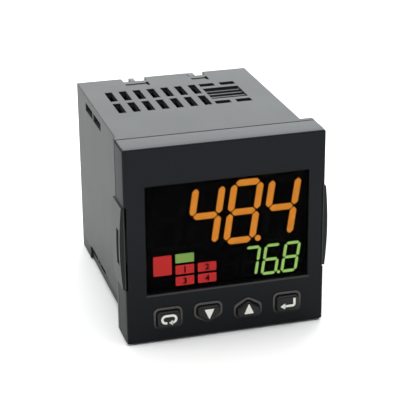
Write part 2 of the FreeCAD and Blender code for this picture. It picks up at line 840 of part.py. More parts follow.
def on_board(side, y, z, size):
    """A box that stands on the inner face of a side board."""
    height = size[0]
    x = side * (side_board_inner - height / 2)
    return centred((x, y, z), size)


def can(radius, length, y, z):
    """A round can that stands on the power board, with its axis along X."""
    return Part.makeCylinder(radius, length, point(-side_board_inner, y, z), point(1, 0, 0))


def small_cans():
    """A row of small cans up the power board, from its lower edge."""
    first_z = small_capacitor_margin - side_board_half_height
    levels = [first_z + index * small_capacitor_pitch for index in range(small_capacitor_count)]
    return [can(small_capacitor_radius, small_capacitor_length, small_capacitor_y, z) for z in levels]


def relays():
    """A row of relays up the control board, from its lower edge."""
    first_z = relay_margin - side_board_half_height
    return [on_board(1, relay_y, first_z + index * relay_pitch, relay_size) for index in range(relay_count)]


def chips():
    """The two chips on the control board, from its upper edge."""
    return [on_board(1, chip_y, z, chip_size) for z in (chip_z, chip_z - chip_pitch)]


def transformer_coil():
    """The wound bobbin, which passes through the core's two windows."""
    return on_board(-1, core_y, core_z, coil_size)


def transformer_core():
    """A frame-shaped ferrite core round the coil."""
    window_length = coil_size[1] + 2 * core_gap
    window_height = coil_size[2] + 2 * core_gap
    frame_size = (coil_size[0], window_length + 2 * core_limb, window_height + 2 * core_limb)
    window_size = (2 * coil_size[0], window_length, window_height)
    centre = (-side_board_inner + coil_size[0] / 2, core_y, core_z)
    return centred(centre, frame_size).cut(centred(centre, window_size))


def make_all():
    """Every piece of the controller, by name."""
    pieces = {
        "case_shell": case_shell(),
        "rear_terminal_block": rear_block(),
        "terminal_contacts": both_columns(contact),
        "terminal_clamp_plates": both_columns(clamp_plate),
        "terminal_screws": both_columns(terminal_screw),
        "front_bezel": front_bezel(),
        "front_seal": front_seal(),
        "window_lens": window_lens(),
        "display_block": display_block(),
        "main_digits": digit_row(
            window_right - main_right_margin, main_low, main_pitch, main_pitch - main_digit_gap,
            main_bar_rise, main_bar_width, main_bar_gap, main_point_radius,
        ),
        "small_digits": digit_row(
            window_right - small_right_margin, window_low + small_bottom_margin, small_pitch,
            small_pitch - small_digit_gap, small_bar_rise, small_bar_width, small_bar_gap,
            small_point_radius,
        ),
        "alarm_lamp": alarm_lamp(),
        "unit_lamp": unit_lamp(),
        "channel_lamps": channel_lamps(),
        "display_board": display_board(),
        "switch_bodies": switch_bodies(),
        "power_board": side_board(-1),
        "control_board": side_board(1),
        "power_board_header": board_header(-1),
        "control_board_header": board_header(1),
        "transformer_core": transformer_core(),
        "transformer_coil": transformer_coil(),
        "bulk_capacitor": can(capacitor_radius, capacitor_length, capacitor_y, capacitor_z),
        "smoothing_capacitors": group(small_cans()),
        "output_relays": group(relays()),
        "control_chips": group(chips()),
    }
    for name, shape, x in zip(key_names, key_shapes, key_x):
        pieces["key_" + name] = key_cap(shape, x)
        pieces["switch_button_" + name] = switch_button(x)
    return pieces


os.makedirs("parts", exist_ok=True)
for name, shape in make_all().items():
    shape.exportStep("parts/" + name + ".step")
    state = "valid" if shape.isValid() else "BAD"
    print(name, len(shape.Solids), "solids", round(shape.Volume, 2), "mm3", state)
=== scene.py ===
import json
import logging
import math
from dataclasses import dataclass
from enum import Enum

import bmesh
import bpy
import numpy as np
from mathutils import Matrix, Vector

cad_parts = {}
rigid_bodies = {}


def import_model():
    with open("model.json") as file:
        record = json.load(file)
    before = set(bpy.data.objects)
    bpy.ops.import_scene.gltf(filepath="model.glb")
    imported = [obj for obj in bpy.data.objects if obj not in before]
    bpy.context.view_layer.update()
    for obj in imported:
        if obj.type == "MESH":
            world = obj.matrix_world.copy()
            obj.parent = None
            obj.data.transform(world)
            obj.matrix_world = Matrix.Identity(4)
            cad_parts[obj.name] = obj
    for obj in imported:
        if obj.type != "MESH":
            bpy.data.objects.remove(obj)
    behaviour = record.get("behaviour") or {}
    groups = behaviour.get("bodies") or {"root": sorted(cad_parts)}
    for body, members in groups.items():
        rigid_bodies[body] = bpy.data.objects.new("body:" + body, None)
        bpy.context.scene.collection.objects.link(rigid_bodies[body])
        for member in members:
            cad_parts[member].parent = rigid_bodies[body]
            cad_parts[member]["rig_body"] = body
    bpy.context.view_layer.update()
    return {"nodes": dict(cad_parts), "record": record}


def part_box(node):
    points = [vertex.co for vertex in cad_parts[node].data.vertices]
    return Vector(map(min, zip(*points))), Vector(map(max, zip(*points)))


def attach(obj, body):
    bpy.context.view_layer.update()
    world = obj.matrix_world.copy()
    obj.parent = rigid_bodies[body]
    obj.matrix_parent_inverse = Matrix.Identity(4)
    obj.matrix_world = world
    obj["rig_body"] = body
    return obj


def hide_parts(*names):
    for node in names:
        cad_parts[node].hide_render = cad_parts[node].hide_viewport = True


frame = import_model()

log = logging.getLogger("temperature_controller")

MM = 0.001
Colour = tuple[float, float, float]
Outline = np.ndarray


class Value:
    """A number that changes over a surface. Sums and products of values add maths nodes."""

    def __init__(self, graph: "Graph", socket: bpy.types.NodeSocket) -> None:
        """Wraps the socket that gives the number.

        Args:
            graph: the material's node graph.
            socket: the output that gives the number.
        """
        self.graph = graph
        self.socket = socket

    def worked(self, operation: str, first: "Value | float", second: "Value | float" = 0.0) -> "Value":
        """Adds one maths node.

        Args:
            operation: the node's operation.
            first: its first number.
            second: its second number.

        Returns:
            The node's result.
        """
        node = self.graph.node("ShaderNodeMath", {"operation": operation}, {0: first, 1: second})
        return Value(self.graph, node.outputs[0])

    def __add__(self, other: "Value | float") -> "Value":
        """The sum."""
        return self.worked("ADD", self, other)

    __radd__ = __add__

    def __sub__(self, other: "Value | float") -> "Value":
        """This less the other."""
        return self.worked("SUBTRACT", self, other)

    def __rsub__(self, other: float) -> "Value":
        """The other less this."""
        return self.worked("SUBTRACT", other, self)

    def __mul__(self, other: "Value | float") -> "Value":
        """The product."""
        return self.worked("MULTIPLY", self, other)

    __rmul__ = __mul__

    def __gt__(self, other: "Value | float") -> "Value":
        """1 where this is the greater, else 0."""
        return self.worked("GREATER_THAN", self, other)

    def __lt__(self, other: "Value | float") -> "Value":
        """1 where this is the smaller, else 0."""
        return self.worked("LESS_THAN", self, other)

    def fraction(self) -> "Value":
        """The part after the decimal point."""
        return self.worked("FRACT", self)

    def within(self, low: float, high: float) -> "Value":
        """1 where this lies between the two numbers, else 0."""
        return (self > low) * (self < high)

    def rise(self, low: float, high: float) -> "Value":
        """0 where this is at or under the low number, 1 at or over the high one, and even between."""
        inputs = {"Value": self, "From Min": low, "From Max": high}
        return Value(self.graph, self.graph.node("ShaderNodeMapRange", {}, inputs).outputs[0])


class Graph:
    """A new material's nodes, with the object's own coordinates at hand."""

    def __init__(self, name: str) -> None:
        """Makes the material.

        Args:
            name: the material's name.
        """
        self.material = bpy.data.materials.new(name)
        self.material.use_nodes = True
        self.tree = self.material.node_tree
        self.shader = self.tree.nodes["Principled BSDF"]
        self.place = self.node("ShaderNodeTexCoord").outputs["Object"]

    def feed(self, socket: bpy.types.NodeSocket, value: object) -> None:
        """Gives a socket a link or a constant.

        Args:
            socket: the socket to feed.
            value: a Value, another node's output, a number or a tuple.
        """
        if isinstance(value, Value):
            self.tree.links.new(value.socket, socket)
        elif isinstance(value, bpy.types.NodeSocket):
            self.tree.links.new(value, socket)
        else:
            socket.default_value = value

    def node(self, kind: str, settings: dict | None = None, inputs: dict | None = None) -> bpy.types.Node:
        """Adds a node.

        Args:
            kind: the node's type.
            settings: properties to set first.
            inputs: values or links of its sockets, by name or number.

        Returns:
            The node.
        """
        node = self.tree.nodes.new(kind)
        for name, setting in (settings or {}).items():
            setattr(node, name, setting)
        for name, value in (inputs or {}).items():
            self.feed(node.inputs[name], value)
        return node

    def set(self, **inputs: object) -> None:
        """Feeds the surface shader's sockets, named with underscores for spaces."""
        for name, value in inputs.items():
            self.feed(self.shader.inputs[name.replace("_", " ")], value)

    def base(self) -> bpy.types.NodeSocket:
        """The output that feeds the surface's colour so far."""
        return self.shader.inputs["Base Color"].links[0].from_socket

    def mixed(self, share: Value | float, first: object, second: object) -> bpy.types.NodeSocket:
        """A colour between two others.

        Args:
            share: the share of the second, from 0 to 1.
            first: a colour or a colour output.
            second: a colour or a colour output.

        Returns:
            The mixed colour's output.
        """
        inputs = {0: share, 6: paint(first), 7: paint(second)}
        return self.node("ShaderNodeMix", {"data_type": "RGBA"}, inputs).outputs[2]

    def stretched(self, scale: tuple[float, float, float]) -> bpy.types.NodeSocket:
        """The object's coordinates, scaled along each axis."""
        return self.node("ShaderNodeMapping", {}, {"Vector": self.place, "Scale": scale}).outputs[0]

    def noise(self, scale: float, detail: float = 2.0, place: object = None) -> Value:
        """Cloudy noise from 0 to 1.

        Args:
            scale: features per metre.
            detail: how many finer layers it has.
            place: the coordinates it follows, or the object's own.

        Returns:
            The noise.
        """
        inputs = {"Vector": place or self.place, "Scale": scale, "Detail": detail}
        return Value(self, self.node("ShaderNodeTexNoise", {}, inputs).outputs["Fac"])

    def cells(self, scale: float, randomness: float = 1.0) -> tuple[Value, Value]:
        """Distances to scattered points, and a random number for each point's cell.

        Args:
            scale: points per metre.
            randomness: 0 for a square grid, 1 for scattered points.

        Returns:
            The distance and the cell's number.
        """
        inputs = {"Vector": self.place, "Scale": scale, "Randomness": randomness}
        node = self.node("ShaderNodeTexVoronoi", {}, inputs)
        return Value(self, node.outputs["Distance"]), self.part(node.outputs["Color"], "Red")

    def part(self, colour: bpy.types.NodeSocket, channel: str) -> Value:
        """One channel of a colour."""
        return Value(self, self.node("ShaderNodeSeparateColor", {}, {0: colour}).outputs[channel])

    def axis(self, name: str) -> Value:
        """The object's own X, Y or Z in metres."""
        return Value(self, self.node("ShaderNodeSeparateXYZ", {}, {0: self.place}).outputs[name])

    def bump(self, height: Value, depth: float) -> bpy.types.NodeSocket:
        """A normal that follows small relief.

        Args:
            height: the relief, from 0 to 1.
            depth: how deep a height of 1 is, in metres.

        Returns:
            The normal's output.
        """
        inputs = {"Height": height, "Distance": depth, "Strength": 1.0}
        return self.node("ShaderNodeBump", {}, inputs).outputs[0]


def paint(colour: object) -> object:
    """A plain colour with its fourth channel, or an output as it is."""
    return (*colour, 1.0) if isinstance(colour, tuple) and len(colour) == 3 else colour


@dataclass(frozen=True)
class Finish:
    """How one material looks. Each kind of finish dresses its own graph."""

    name: str
    colour: Colour
    roughness: float = 0.5

    def dress(self, graph: Graph) -> None:
        """Sets the plain colour and roughness."""
        graph.set(Base_Color=paint(self.colour), Roughness=self.roughness)

    def material(self) -> bpy.types.Material:
        """The finish's material, made when it is first asked for.

        Returns:
            The material.
        """
        if self.name not in bpy.data.materials:
            self.dress(Graph(self.name))
        return bpy.data.materials[self.name]


@dataclass(frozen=True)
class MouldedPlastic(Finish):
    """Moulded plastic with fine spark grain and a slight unevenness of tone."""

    specular: float = 0.5
    grain: float = 1900.0
    grain_depth: float = 0.000012
    mottle: float = 0.08
    clouds: float = 60.0
    unevenness: float = 0.08

    def dress(self, graph: Graph) -> None:
        """Grain as bump, cloudy tone and roughness.

        Args:
            graph: the material's node graph.
        """
        cloud = graph.noise(self.clouds, detail=3.0)
        darker = tuple(channel * (1 - self.mottle) for channel in self.colour)
        lighter = tuple(channel * (1 + self.mottle) for channel in self.colour)
        graph.set(
            Base_Color=graph.mixed(cloud, darker, lighter),
            Roughness=cloud * self.unevenness + (self.roughness - self.unevenness / 2),
            Specular_IOR_Level=self.specular,
            Normal=graph.bump(graph.noise(self.grain, detail=1.0), self.grain_depth),
        )


@dataclass(frozen=True)
class CasePlastic(MouldedPlastic):
    """The case's plastic, with painted shade on the ears' front ends, in the louvres' pocket and along the
    foot.

    The places are in metres, in the case's own coordinates.
    """

    painted_shade_colour: Colour = (0.011, 0.0114, 0.0114)
    ends_before: float = -0.0124
    ends_outside: float = 0.0359
    pocket_low: float = 0.0328
    pocket_high: float = 0.0332
    foot_below: float = -0.0286
    foot_outside: float = 0.0322

    def dress(self, graph: Graph) -> None:
        """The moulded surface, with painted shade in the places that lie in shade.

        Args:
            graph: the material's node graph.
        """
        super().dress(graph)
        across, deep, up = (graph.axis(name) for name in "XYZ")
        width, level = across * across, up * up
        on_end = (deep < self.ends_before) * (width > self.ends_outside**2)
        in_pocket = level.within(self.pocket_low**2, self.pocket_high**2) * (width < self.pocket_low**2)
        on_foot = (up < self.foot_below) * (width > self.foot_outside**2) * (deep > 0.0)
        # painted shade: the ears' front ends, the louvres' pocket and the foot are darkened as if in shade
        painted_shade = on_end + in_pocket + on_foot
        graph.set(Base_Color=graph.mixed(painted_shade, graph.base(), self.painted_shade_colour))


@dataclass(frozen=True)
class BezelPlastic(MouldedPlastic):
    """The bezel's plastic: painted shade darkens its face downwards, and its rims, cut and flanks differ
    from it.

    The rims round the keys are paler with a painted highlight, and shine more. The cut is the edge under
    the window, paler with a painted highlight. The flanks are rougher, and paler towards the bottom with
    painted light. The places are in metres, in the bezel's own coordinates.
    """

    shade: float = 0.55
    shade_from: float = 0.006
    shade_to: float = -0.036
    rims_before: float = -0.01355
    rims_from: float = -0.0268
    rims_to: float = -0.0314
    rim_highlight_colour: Colour = (0.085, 0.082, 0.077)
    rim_roughness: float = 0.2
    cut_levels: tuple[float, float] = (-0.0186, -0.0180)
    cut_ends: tuple[float, float] = (-0.0288, 0.0306)
    cut_highlight_colour: Colour = (0.04, 0.04, 0.041)
    flanks_outside: float = 0.0356
    flank_roughness: float = 0.5
    flank_light_colour: Colour = (0.026, 0.0265, 0.0265)
    flank_from: float = 0.018

    def dress(self, graph: Graph) -> None:
        """The moulded surface, with its painted shade, painted highlights and painted light, and each part
        in its own shine.

        Args:
            graph: the material's node graph.
        """
        super().dress(graph)
        across, deep, up = (graph.axis(name) for name in "XYZ")
        on_rim = (deep < self.rims_before) * up.rise(self.rims_to, self.rims_from)
        on_cut = up.within(*self.cut_levels) * across.within(*self.cut_ends)
        on_flank = across * across > self.flanks_outside**2
        low_on_flank = on_flank - on_flank * up.rise(self.shade_to, self.flank_from)
        # painted shade: the face darkens towards the bottom
        darkest = tuple(channel * self.shade for channel in self.colour)
        colour = graph.mixed(up.rise(self.shade_to, self.shade_from), darkest, graph.base())
        # painted light: the flanks are paler towards the bottom
        colour = graph.mixed(low_on_flank, colour, self.flank_light_colour)
        # painted highlight along the cut under the window
        colour = graph.mixed(on_cut, colour, self.cut_highlight_colour)
        smoother = on_rim * (self.roughness - self.rim_roughness)
        rougher = on_flank * (self.flank_roughness - self.roughness)
        # painted highlight: the rims round the keys are paler
        graph.set(
            Base_Color=graph.mixed(on_rim, colour, self.rim_highlight_colour),
            Roughness=self.roughness - smoother + rougher,
        )


@dataclass(frozen=True)
class LightCell(Finish):
    """A diffusing light cell that glows, a little weaker in some places than in others."""

    glow: float = 1.0
    weakest: float = 0.86
    body: float = 0.3
    clouds: float = 260.0

    def dress(self, graph: Graph) -> None:
        """Glow with a soft unevenness.

        Args:
            graph: the material's node graph.
        """
        dimmer = tuple(channel * self.weakest for channel in self.colour)
        filling = tuple(channel * self.body for channel in self.colour)
        graph.set(
            Base_Color=paint(filling),
            Roughness=self.roughness,
            Emission_Color=graph.mixed(graph.noise(self.clouds, detail=1.0), dimmer, self.colour),
            Emission_Strength=self.glow,
        )


@dataclass(frozen=True)
class SmokedWindow(Finish):
    """Tinted clear plastic: some light passes, and its face shines very little."""

    cover: float = 0.45
    specular: float = 0.02

    def dress(self, graph: Graph) -> None:
        """A dark film that covers part of what lies behind.

        Args:
            graph: the material's node graph.
        """
        graph.set(
            Base_Color=paint(self.colour),
            Roughness=self.roughness,
            Specular_IOR_Level=self.specular,
            Alpha=self.cover,
        )


@dataclass(frozen=True)
class Plated(Finish):
    """Plated or bare metal with fine drawing marks along one axis."""

    stretch: tuple[float, float, float] = (1.0, 1.0, 12.0)
    marks: float = 700.0
    mark_depth: float = 0.000004
    unevenness: float = 0.16
    clouds: float = 120.0
    wear: float = 0.12

    def dress(self, graph: Graph) -> None:
        """Metal whose roughness follows the marks.

        Args:
            graph: the material's node graph.
        """
        lines = graph.noise(self.marks, place=graph.stretched(self.stretch))
        duller = tuple(channel * (1 - self.wear) for channel in self.colour)
        graph.set(
            Base_Color=graph.mixed(graph.noise(self.clouds), duller, self.colour),
            Metallic=1.0,
            Roughness=lines * self.unevenness + (self.roughness - self.unevenness / 2),
            Normal=graph.bump(lines, self.mark_depth),
        )


@dataclass(frozen=True)
class SolderMask(Finish):
    """A circuit board: lacquer over raised tracks, with tinned dots where legs come through."""

    track: Colour = (0.02, 0.17, 0.075)
    tin: Colour = (0.6, 0.6, 0.58)
    patches: float = 95.0
    bare_share: float = 0.4
    upright_share: float = 0.5
    tracks_per_metre: float = 780.0
    track_width: float = 0.42
    dots_per_metre: float = 390.0
    dot_radius: float = 0.24
    dotless_share: float = 0.8
    dot_shine: float = 0.08
    dot_height: float = 0.00008
    track_height: float = 0.00004

    def dress(self, graph: Graph) -> None:
        """Each patch of the board is bare, or has tracks along Z, or tracks along Y.

        Args:
            graph: the material's node graph.
        """
        patch = graph.cells(self.patches)[1]
        along_z = (graph.axis("Y") * self.tracks_per_metre).fraction() < self.track_width
        along_y = (graph.axis("Z") * self.tracks_per_metre).fraction() < self.track_width
        upright = patch > self.upright_share
        tracks = (upright * along_z + (1 - upright) * along_y) * (patch > self.bare_share)
        distance, number = graph.cells(self.dots_per_metre, randomness=0.0)
        dots = (distance < self.dot_radius) * (number > self.dotless_share)
        graph.set(
            Base_Color=graph.mixed(dots, graph.mixed(tracks, self.colour, self.track), self.tin),
            Metallic=dots,
            Roughness=self.roughness - dots * self.dot_shine,
            Normal=graph.bump(tracks + dots * (self.dot_height / self.track_height), self.track_height),
        )


@dataclass(frozen=True)
class SinteredCore(Finish):
    """Dark sintered metal oxide: dull, with small bright specks."""

    grains: float = 2200.0
    dull_share: float = 0.93
    speck_tone: float = 1.96
    pits: float = 1500.0
    pit_depth: float = 0.00003

    def dress(self, graph: Graph) -> None:
        """Specks in the tone and a pitted relief.

        Args:
            graph: the material's node graph.
        """
        specks = graph.cells(self.grains)[1] > self.dull_share
        brighter = tuple(channel * self.speck_tone for channel in self.colour)
        graph.set(
            Base_Color=graph.mixed(specks, self.colour, brighter),
            Roughness=self.roughness,
            Normal=graph.bump(graph.noise(self.pits, detail=3.0), self.pit_depth),
        )


@dataclass(frozen=True)
class WoundTape(Finish):
    """Film tape wound round a coil: smooth bands with thin lapped edges."""

    bands: float = 420.0
    lap_width: float = 0.09
    lap_tone: float = 0.55
    lap_depth: float = 0.00003
    coat: float = 0.3

    def dress(self, graph: Graph) -> None:
        """Thin darker lines at each lap.

        Args:
            graph: the material's node graph.
        """
        lap = (graph.axis("Z") * self.bands).fraction() < self.lap_width
        darker = tuple(channel * self.lap_tone for channel in self.colour)
        graph.set(
            Base_Color=graph.mixed(lap, self.colour, darker),
            Roughness=self.roughness,
            Coat_Weight=self.coat,
            Normal=graph.bump(1 - lap, self.lap_depth),
        )


@dataclass(frozen=True)
class SleevedCan(Finish):
    """A capacitor can: a shrunk plastic sleeve round the side, with bare metal on the end."""

    end: float = 0.0
    bare: Colour = (0.72, 0.72, 0.73)
    bare_shine: float = 0.05

    def dress(self, graph: Graph) -> None:
        """Bare metal past the sleeve's edge along X, and sleeve elsewhere.

        Args:
            graph: the material's node graph.
        """
        metal = graph.axis("X") > self.end
        graph.set(
            Base_Color=graph.mixed(metal, self.colour, self.bare),
            Metallic=metal,
            Roughness=self.roughness - metal * self.bare_shine,
        )


@dataclass(frozen=True)
class StageFloor(Finish):
    """The plain sheet that the object stands on."""

    def dress(self, graph: Graph) -> None:
        """White, with no shine."""
        graph.set(Base_Color=paint(self.colour), Roughness=self.roughness, Specular_IOR_Level=0.0)


@dataclass
class Skin:
    """A closed surface: its points in millimetres, and the faces that join them."""

    points: np.ndarray
    faces: list[tuple[int, ...]]

    def volume(self) -> float:
        """A sixth of the sum, over the faces cut into triangles, of a . (b x c) of their corners.

        Returns:
            The volume, which is negative where the faces are turned inwards.
        """
        cut = [(face[0], *face[k : k + 2]) for face in self.faces for k in range(1, len(face) - 1)]
        a, b, c = np.moveaxis(self.points[np.array(cut)], 1, 0)
        return float(np.einsum("ij,ij->", a, np.cross(b, c))) / 6

    def outward(self) -> "Skin":
        """Turns the faces outwards, which makes the volume positive.

        Returns:
            This surface.
        """
        if self.volume() < 0:
            self.faces = [face[::-1] for face in self.faces]
        return self

    def moved(self, x: float = 0.0, y: float = 0.0, z: float = 0.0) -> "Skin":
        """A copy moved along the axes."""
        return Skin(self.points + np.array([x, y, z]), list(self.faces))

    def scaled(self, x: float = 1.0, y: float = 1.0, z: float = 1.0) -> "Skin":
        """A copy scaled along the axes, with its faces still outwards. A scale of -1 mirrors it."""
        return Skin(self.points * np.array([x, y, z]), list(self.faces)).outward()


def joined(skins: list[Skin]) -> Skin:
    """Several closed surfaces as one.

    Args:
        skins: the surfaces.

    Returns:
        One surface with all their points and faces, in the same order.
    """
    starts = np.cumsum([0] + [len(skin.points) for skin in skins[:-1]]).tolist()
    faces = []
    for skin, start in zip(skins, starts):
        faces += [tuple(index + start for index in face) for face in skin.faces]
    return Skin(np.concatenate([skin.points for skin in skins]), faces)


def ringed(rings: np.ndarray) -> Skin:
    """Joins rings of equal count and closes both ends.

    Face (i, j) joins points (i, j), (i, j + 1), (i + 1, j + 1) and (i + 1, j), with j counted round
    the ring. The first and last rings are each closed by one face.

    Args:
        rings: points by ring, by place round the ring, and by axis.

    Returns:
        The closed surface.
    """
    rows, count, _ = rings.shape
    row = np.arange(rows - 1)[:, None] * count
    here = row + np.arange(count)
    following = row + (np.arange(count) + 1) % count
    quads = np.stack([here, following, following + count, here + count], axis=-1).reshape(-1, 4)
    faces = [tuple(quad) for quad in quads.tolist()]
    faces += [tuple(range(count))[::-1], tuple(range((rows - 1) * count, rows * count))]
    return Skin(rings.reshape(-1, 3), faces).outward()


def drawn_in(outline: Outline, distance: float) -> Outline:
    """Moves an anticlockwise outline's points inwards.

    Each point moves by distance times (m + n) / (1 + m . n), where m and n are the inward unit
    normals of the two edges that meet there, so that both edges move by the distance.

    Args:
        outline: X and Z of each point.
        distance: how far in.

    Returns:
        The drawn outline.
    """
    ahead = np.roll(outline, -1, axis=0) - outline
    normal = np.column_stack([-ahead[:, 1], ahead[:, 0]]) / np.linalg.norm(ahead, axis=1, keepdims=True)
    before = np.roll(normal, 1, axis=0)
    cosine = np.sum(normal * before, axis=1, keepdims=True)
    return outline + distance * (normal + before) / (1 + cosine)


def raised(outline: Outline, profile: list[tuple[float, float]]) -> Skin:
    """Carries an outline along Y while it is drawn in as the profile says.

    Args:
        outline: X and Z of each point, in either order round.
        profile: pairs of how far in and at what Y, from one end to the other.

    Returns:
        The closed surface.
    """
    x, z = outline.T
    if np.sum(x * np.roll(z, -1) - z * np.roll(x, -1)) < 0:
        outline = outline[::-1]
    drawn = [(drawn_in(outline, inset), np.full(len(outline), y)) for inset, y in profile]
    return ringed(np.stack([np.column_stack([o[:, 0], y, o[:, 1]]) for o, y in drawn]))


def turned(profile: list[tuple[float, float]], origin: Vector, axis: Vector, sides: int) -> Skin:
    """A turned form: ring i lies at origin + axis * along_i + radius_i * (u cos t + v sin t).

    Args:
        profile: pairs of radius and distance along the axis.
        origin: where the distance is 0.
        axis: the axis's unit direction.
        sides: how many points a ring has.

    Returns:
        The closed surface.
    """
    u = axis.orthogonal().normalized()
    v = axis.cross(u)
    turn = np.arange(sides) * math.tau / sides
    circle = np.cos(turn)[:, None] * np.array(u) + np.sin(turn)[:, None] * np.array(v)
    radius, along = np.array(profile).T
    centres = np.array(origin) + along[:, None] * np.array(axis)
    return ringed(centres[:, None, :] + radius[:, None, None] * circle[None])


def rectangle(x: float, z: float, width: float, height: float) -> Outline:
    """The four corners of an upright rectangle about a centre."""
    signs = np.array([(-1, -1), (1, -1), (1, 1), (-1, 1)]) / 2
    return np.array([x, z]) + signs * np.array([width, height])


def rounded(corners: Outline, radius: float, steps: int) -> Outline:
    """Rounds every corner by an arc.

    With unit directions a and b towards the two neighbours and half the angle between them h, the
    arc's centre is the corner + (a + b) / |a + b| * radius / sin h. A point of the arc is the centre +
    radius * (u sin((1 - t) f) + v sin(t f)) / sin f, where u and v point from the centre to the
    arc's ends, f is the angle between them, and t runs from 0 to 1.

    Args:
        corners: X and Z of each corner.
        radius: the arcs' radius.
        steps: how many pieces each arc has.

    Returns:
        The rounded outline.
    """
    before = np.roll(corners, 1, axis=0) - corners
    after = np.roll(corners, -1, axis=0) - corners
    a = before / np.linalg.norm(before, axis=1, keepdims=True)
    b = after / np.linalg.norm(after, axis=1, keepdims=True)
    half = np.arccos(np.sum(a * b, axis=1, keepdims=True)) / 2
    bisector = (a + b) / np.linalg.norm(a + b, axis=1, keepdims=True)
    centre = corners + bisector * radius / np.sin(half)
    u = (corners + a * radius / np.tan(half) - centre) / radius
    v = (corners + b * radius / np.tan(half) - centre) / radius
    sweep = math.pi - 2 * half[:, :, None]
    t = np.linspace(0, 1, steps + 1)[None, :, None]
    arcs = (u[:, None] * np.sin((1 - t) * sweep) + v[:, None] * np.sin(t * sweep)) / np.sin(sweep)
    return (centre[:, None] + radius * arcs).reshape(-1, 2)


def sharpen(shape: bmesh.types.BMesh, angle: float) -> None:
    """Shades faces smoothly, apart from edges that turn by more than the angle.

    Args:
        shape: the mesh to mark.
        angle: the largest smooth turn, in degrees.
    """
    for face in shape.faces:
        face.smooth = True
    for edge in shape.edges:
        edge.smooth = edge.calc_face_angle(math.pi) < math.radians(angle)


@dataclass(frozen=True)
class Rims:
    """The raised rims, which lie in front of a Y and are eased more. Sizes in millimetres."""

    before_y: float = -13.8
    width: float = 0.3


@dataclass
class Maker:
    """Turns surfaces and copies of the frame's solids into finished pieces.

    The angles are in degrees, and the distance within which points are welded is in metres.
    """

    smooth_to: float = 32.0
    flat_within: float = 0.4
    weld_within: float = 0.000002

    def piece(
        self, name: str, skin: Skin, body: str, slot: str, finish: Finish, nodes: tuple[str, ...] = ()
    ) -> bpy.types.Object:
        """Makes a piece from a surface.

        Args:
            name: the piece's name.
            skin: its surface, in millimetres.
            body: the body it rides on.
            slot: the record's material slot; not used.
            finish: its finish.
            nodes: solids that it stands for.

        Returns:
            The piece.
        """
        mesh = bpy.data.meshes.new(name)
        mesh.from_pydata((skin.points * MM).tolist(), [], skin.faces)
        shape = bmesh.new()
        shape.from_mesh(mesh)
        sharpen(shape, self.smooth_to)
        shape.to_mesh(mesh)
        shape.free()
        return self.finished(bpy.data.objects.new(name, mesh), body, finish, nodes)

    def finished(
        self, piece: bpy.types.Object, body: str, finish: Finish, nodes: tuple[str, ...]
    ) -> bpy.types.Object:
        """Gives a new piece its finish and its body, and hides the solids it stands for.

        Args:
            piece: the piece, not yet in the scene.
            body: the body it rides on.
            finish: its finish.
            nodes: solids that it stands for.

        Returns:
            The piece.
        """
        bpy.context.scene.collection.objects.link(piece)
        piece.data.materials.clear()
        piece.data.materials.append(finish.material())
        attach(piece, body)
        if nodes:
            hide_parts(*nodes)
        log.info("%s rides on %s, %d faces", piece.name, body, len(piece.data.polygons))
        return piece

    def weigh(self, shape: bmesh.types.BMesh, width: float, rims: Rims | None) -> None:
        """Notes on every edge how much of the widest easing it takes.

        Args:
            shape: the mesh whose edges are noted.
            width: how wide the eased edges are, in millimetres.
            rims: where the edges are eased more, if anywhere.
        """
        layer = shape.edges.layers.float.new("bevel_weight_edge")
        for edge in shape.edges:
            if not edge.smooth:
                widest = rims is None or all(vert.co.y < rims.before_y * MM for vert in edge.verts)
                edge[layer] = 1.0 if widest else width / rims.width

    def cleaned(self, source: bpy.types.Object, width: float, rims: Rims | None) -> bpy.types.Mesh:
        """A copy of a solid's mesh with whole flat faces, and its sharp edges marked for easing.

        Args:
            source: the solid.
            width: how wide the eased edges are, in millimetres.
            rims: where the edges are eased more, if anywhere.

        Returns:
            The copy.
        """
        mesh = source.data.copy()
        shape = bmesh.new()
        shape.from_mesh(mesh)
        bmesh.ops.remove_doubles(shape, verts=shape.verts, dist=self.weld_within)
        flat_within = math.radians(self.flat_within)
        bmesh.ops.dissolve_limit(shape, angle_limit=flat_within, verts=shape.verts, edges=shape.edges)
        sharpen(shape, self.smooth_to)
        self.weigh(shape, width, rims)
        shape.to_mesh(mesh)
        shape.free()
        if mesh.has_custom_normals:
            mesh.attributes.remove(mesh.attributes["custom_normal"])
        return mesh

    def eased(
        self, node: str, finish: Finish, width: float, steps: int = 2, rims: Rims | None = None
    ) -> bpy.types.Object:
        """A copy of a solid with its edges eased, which stands for the solid.

        Args:
            node: the solid's name.
            finish: the copy's finish.
            width: how wide the eased edges are, in millimetres.
            steps: how many faces cross an eased edge.
            rims: where the edges are eased more, if anywhere.

        Returns:
            The piece.
        """
        source = frame["nodes"][node]
        piece = bpy.data.objects.new(f"{node}_eased", self.cleaned(source, width, rims))
        bevel = piece.modifiers.new("eased edges", "BEVEL")
        bevel.width = (rims.width if rims else width) * MM
        bevel.segments = steps
        bevel.limit_method = "WEIGHT"
        weighted = piece.modifiers.new("level faces", "WEIGHTED_NORMAL")
        weighted.keep_sharp = True
        return self.finished(piece, source["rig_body"], finish, (node,))

    def dress(self, node: str, finish: Finish) -> None:
        """Gives a solid that stays as it is a better material.

        Args:
            node: the solid's name.
            finish: its finish.
        """
        source = frame["nodes"][node]
        if not source.material_slots:
            source.data.materials.append(None)
        for place in source.material_slots:
            place.material = finish.material()
        log.info("%s is dressed with %s", node, finish.name)


def slot_of(node: str) -> str:
    """The record's material slot of a solid."""
    slots = {part["node"]: part["material_slot"] for part in frame["record"]["subparts"]}
    return slots[node]


def corners_of(node: str) -> tuple[Vector, Vector]:
    """A solid's lowest and highest corners, in millimetres."""
    low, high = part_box(node)
    return low / MM, high / MM


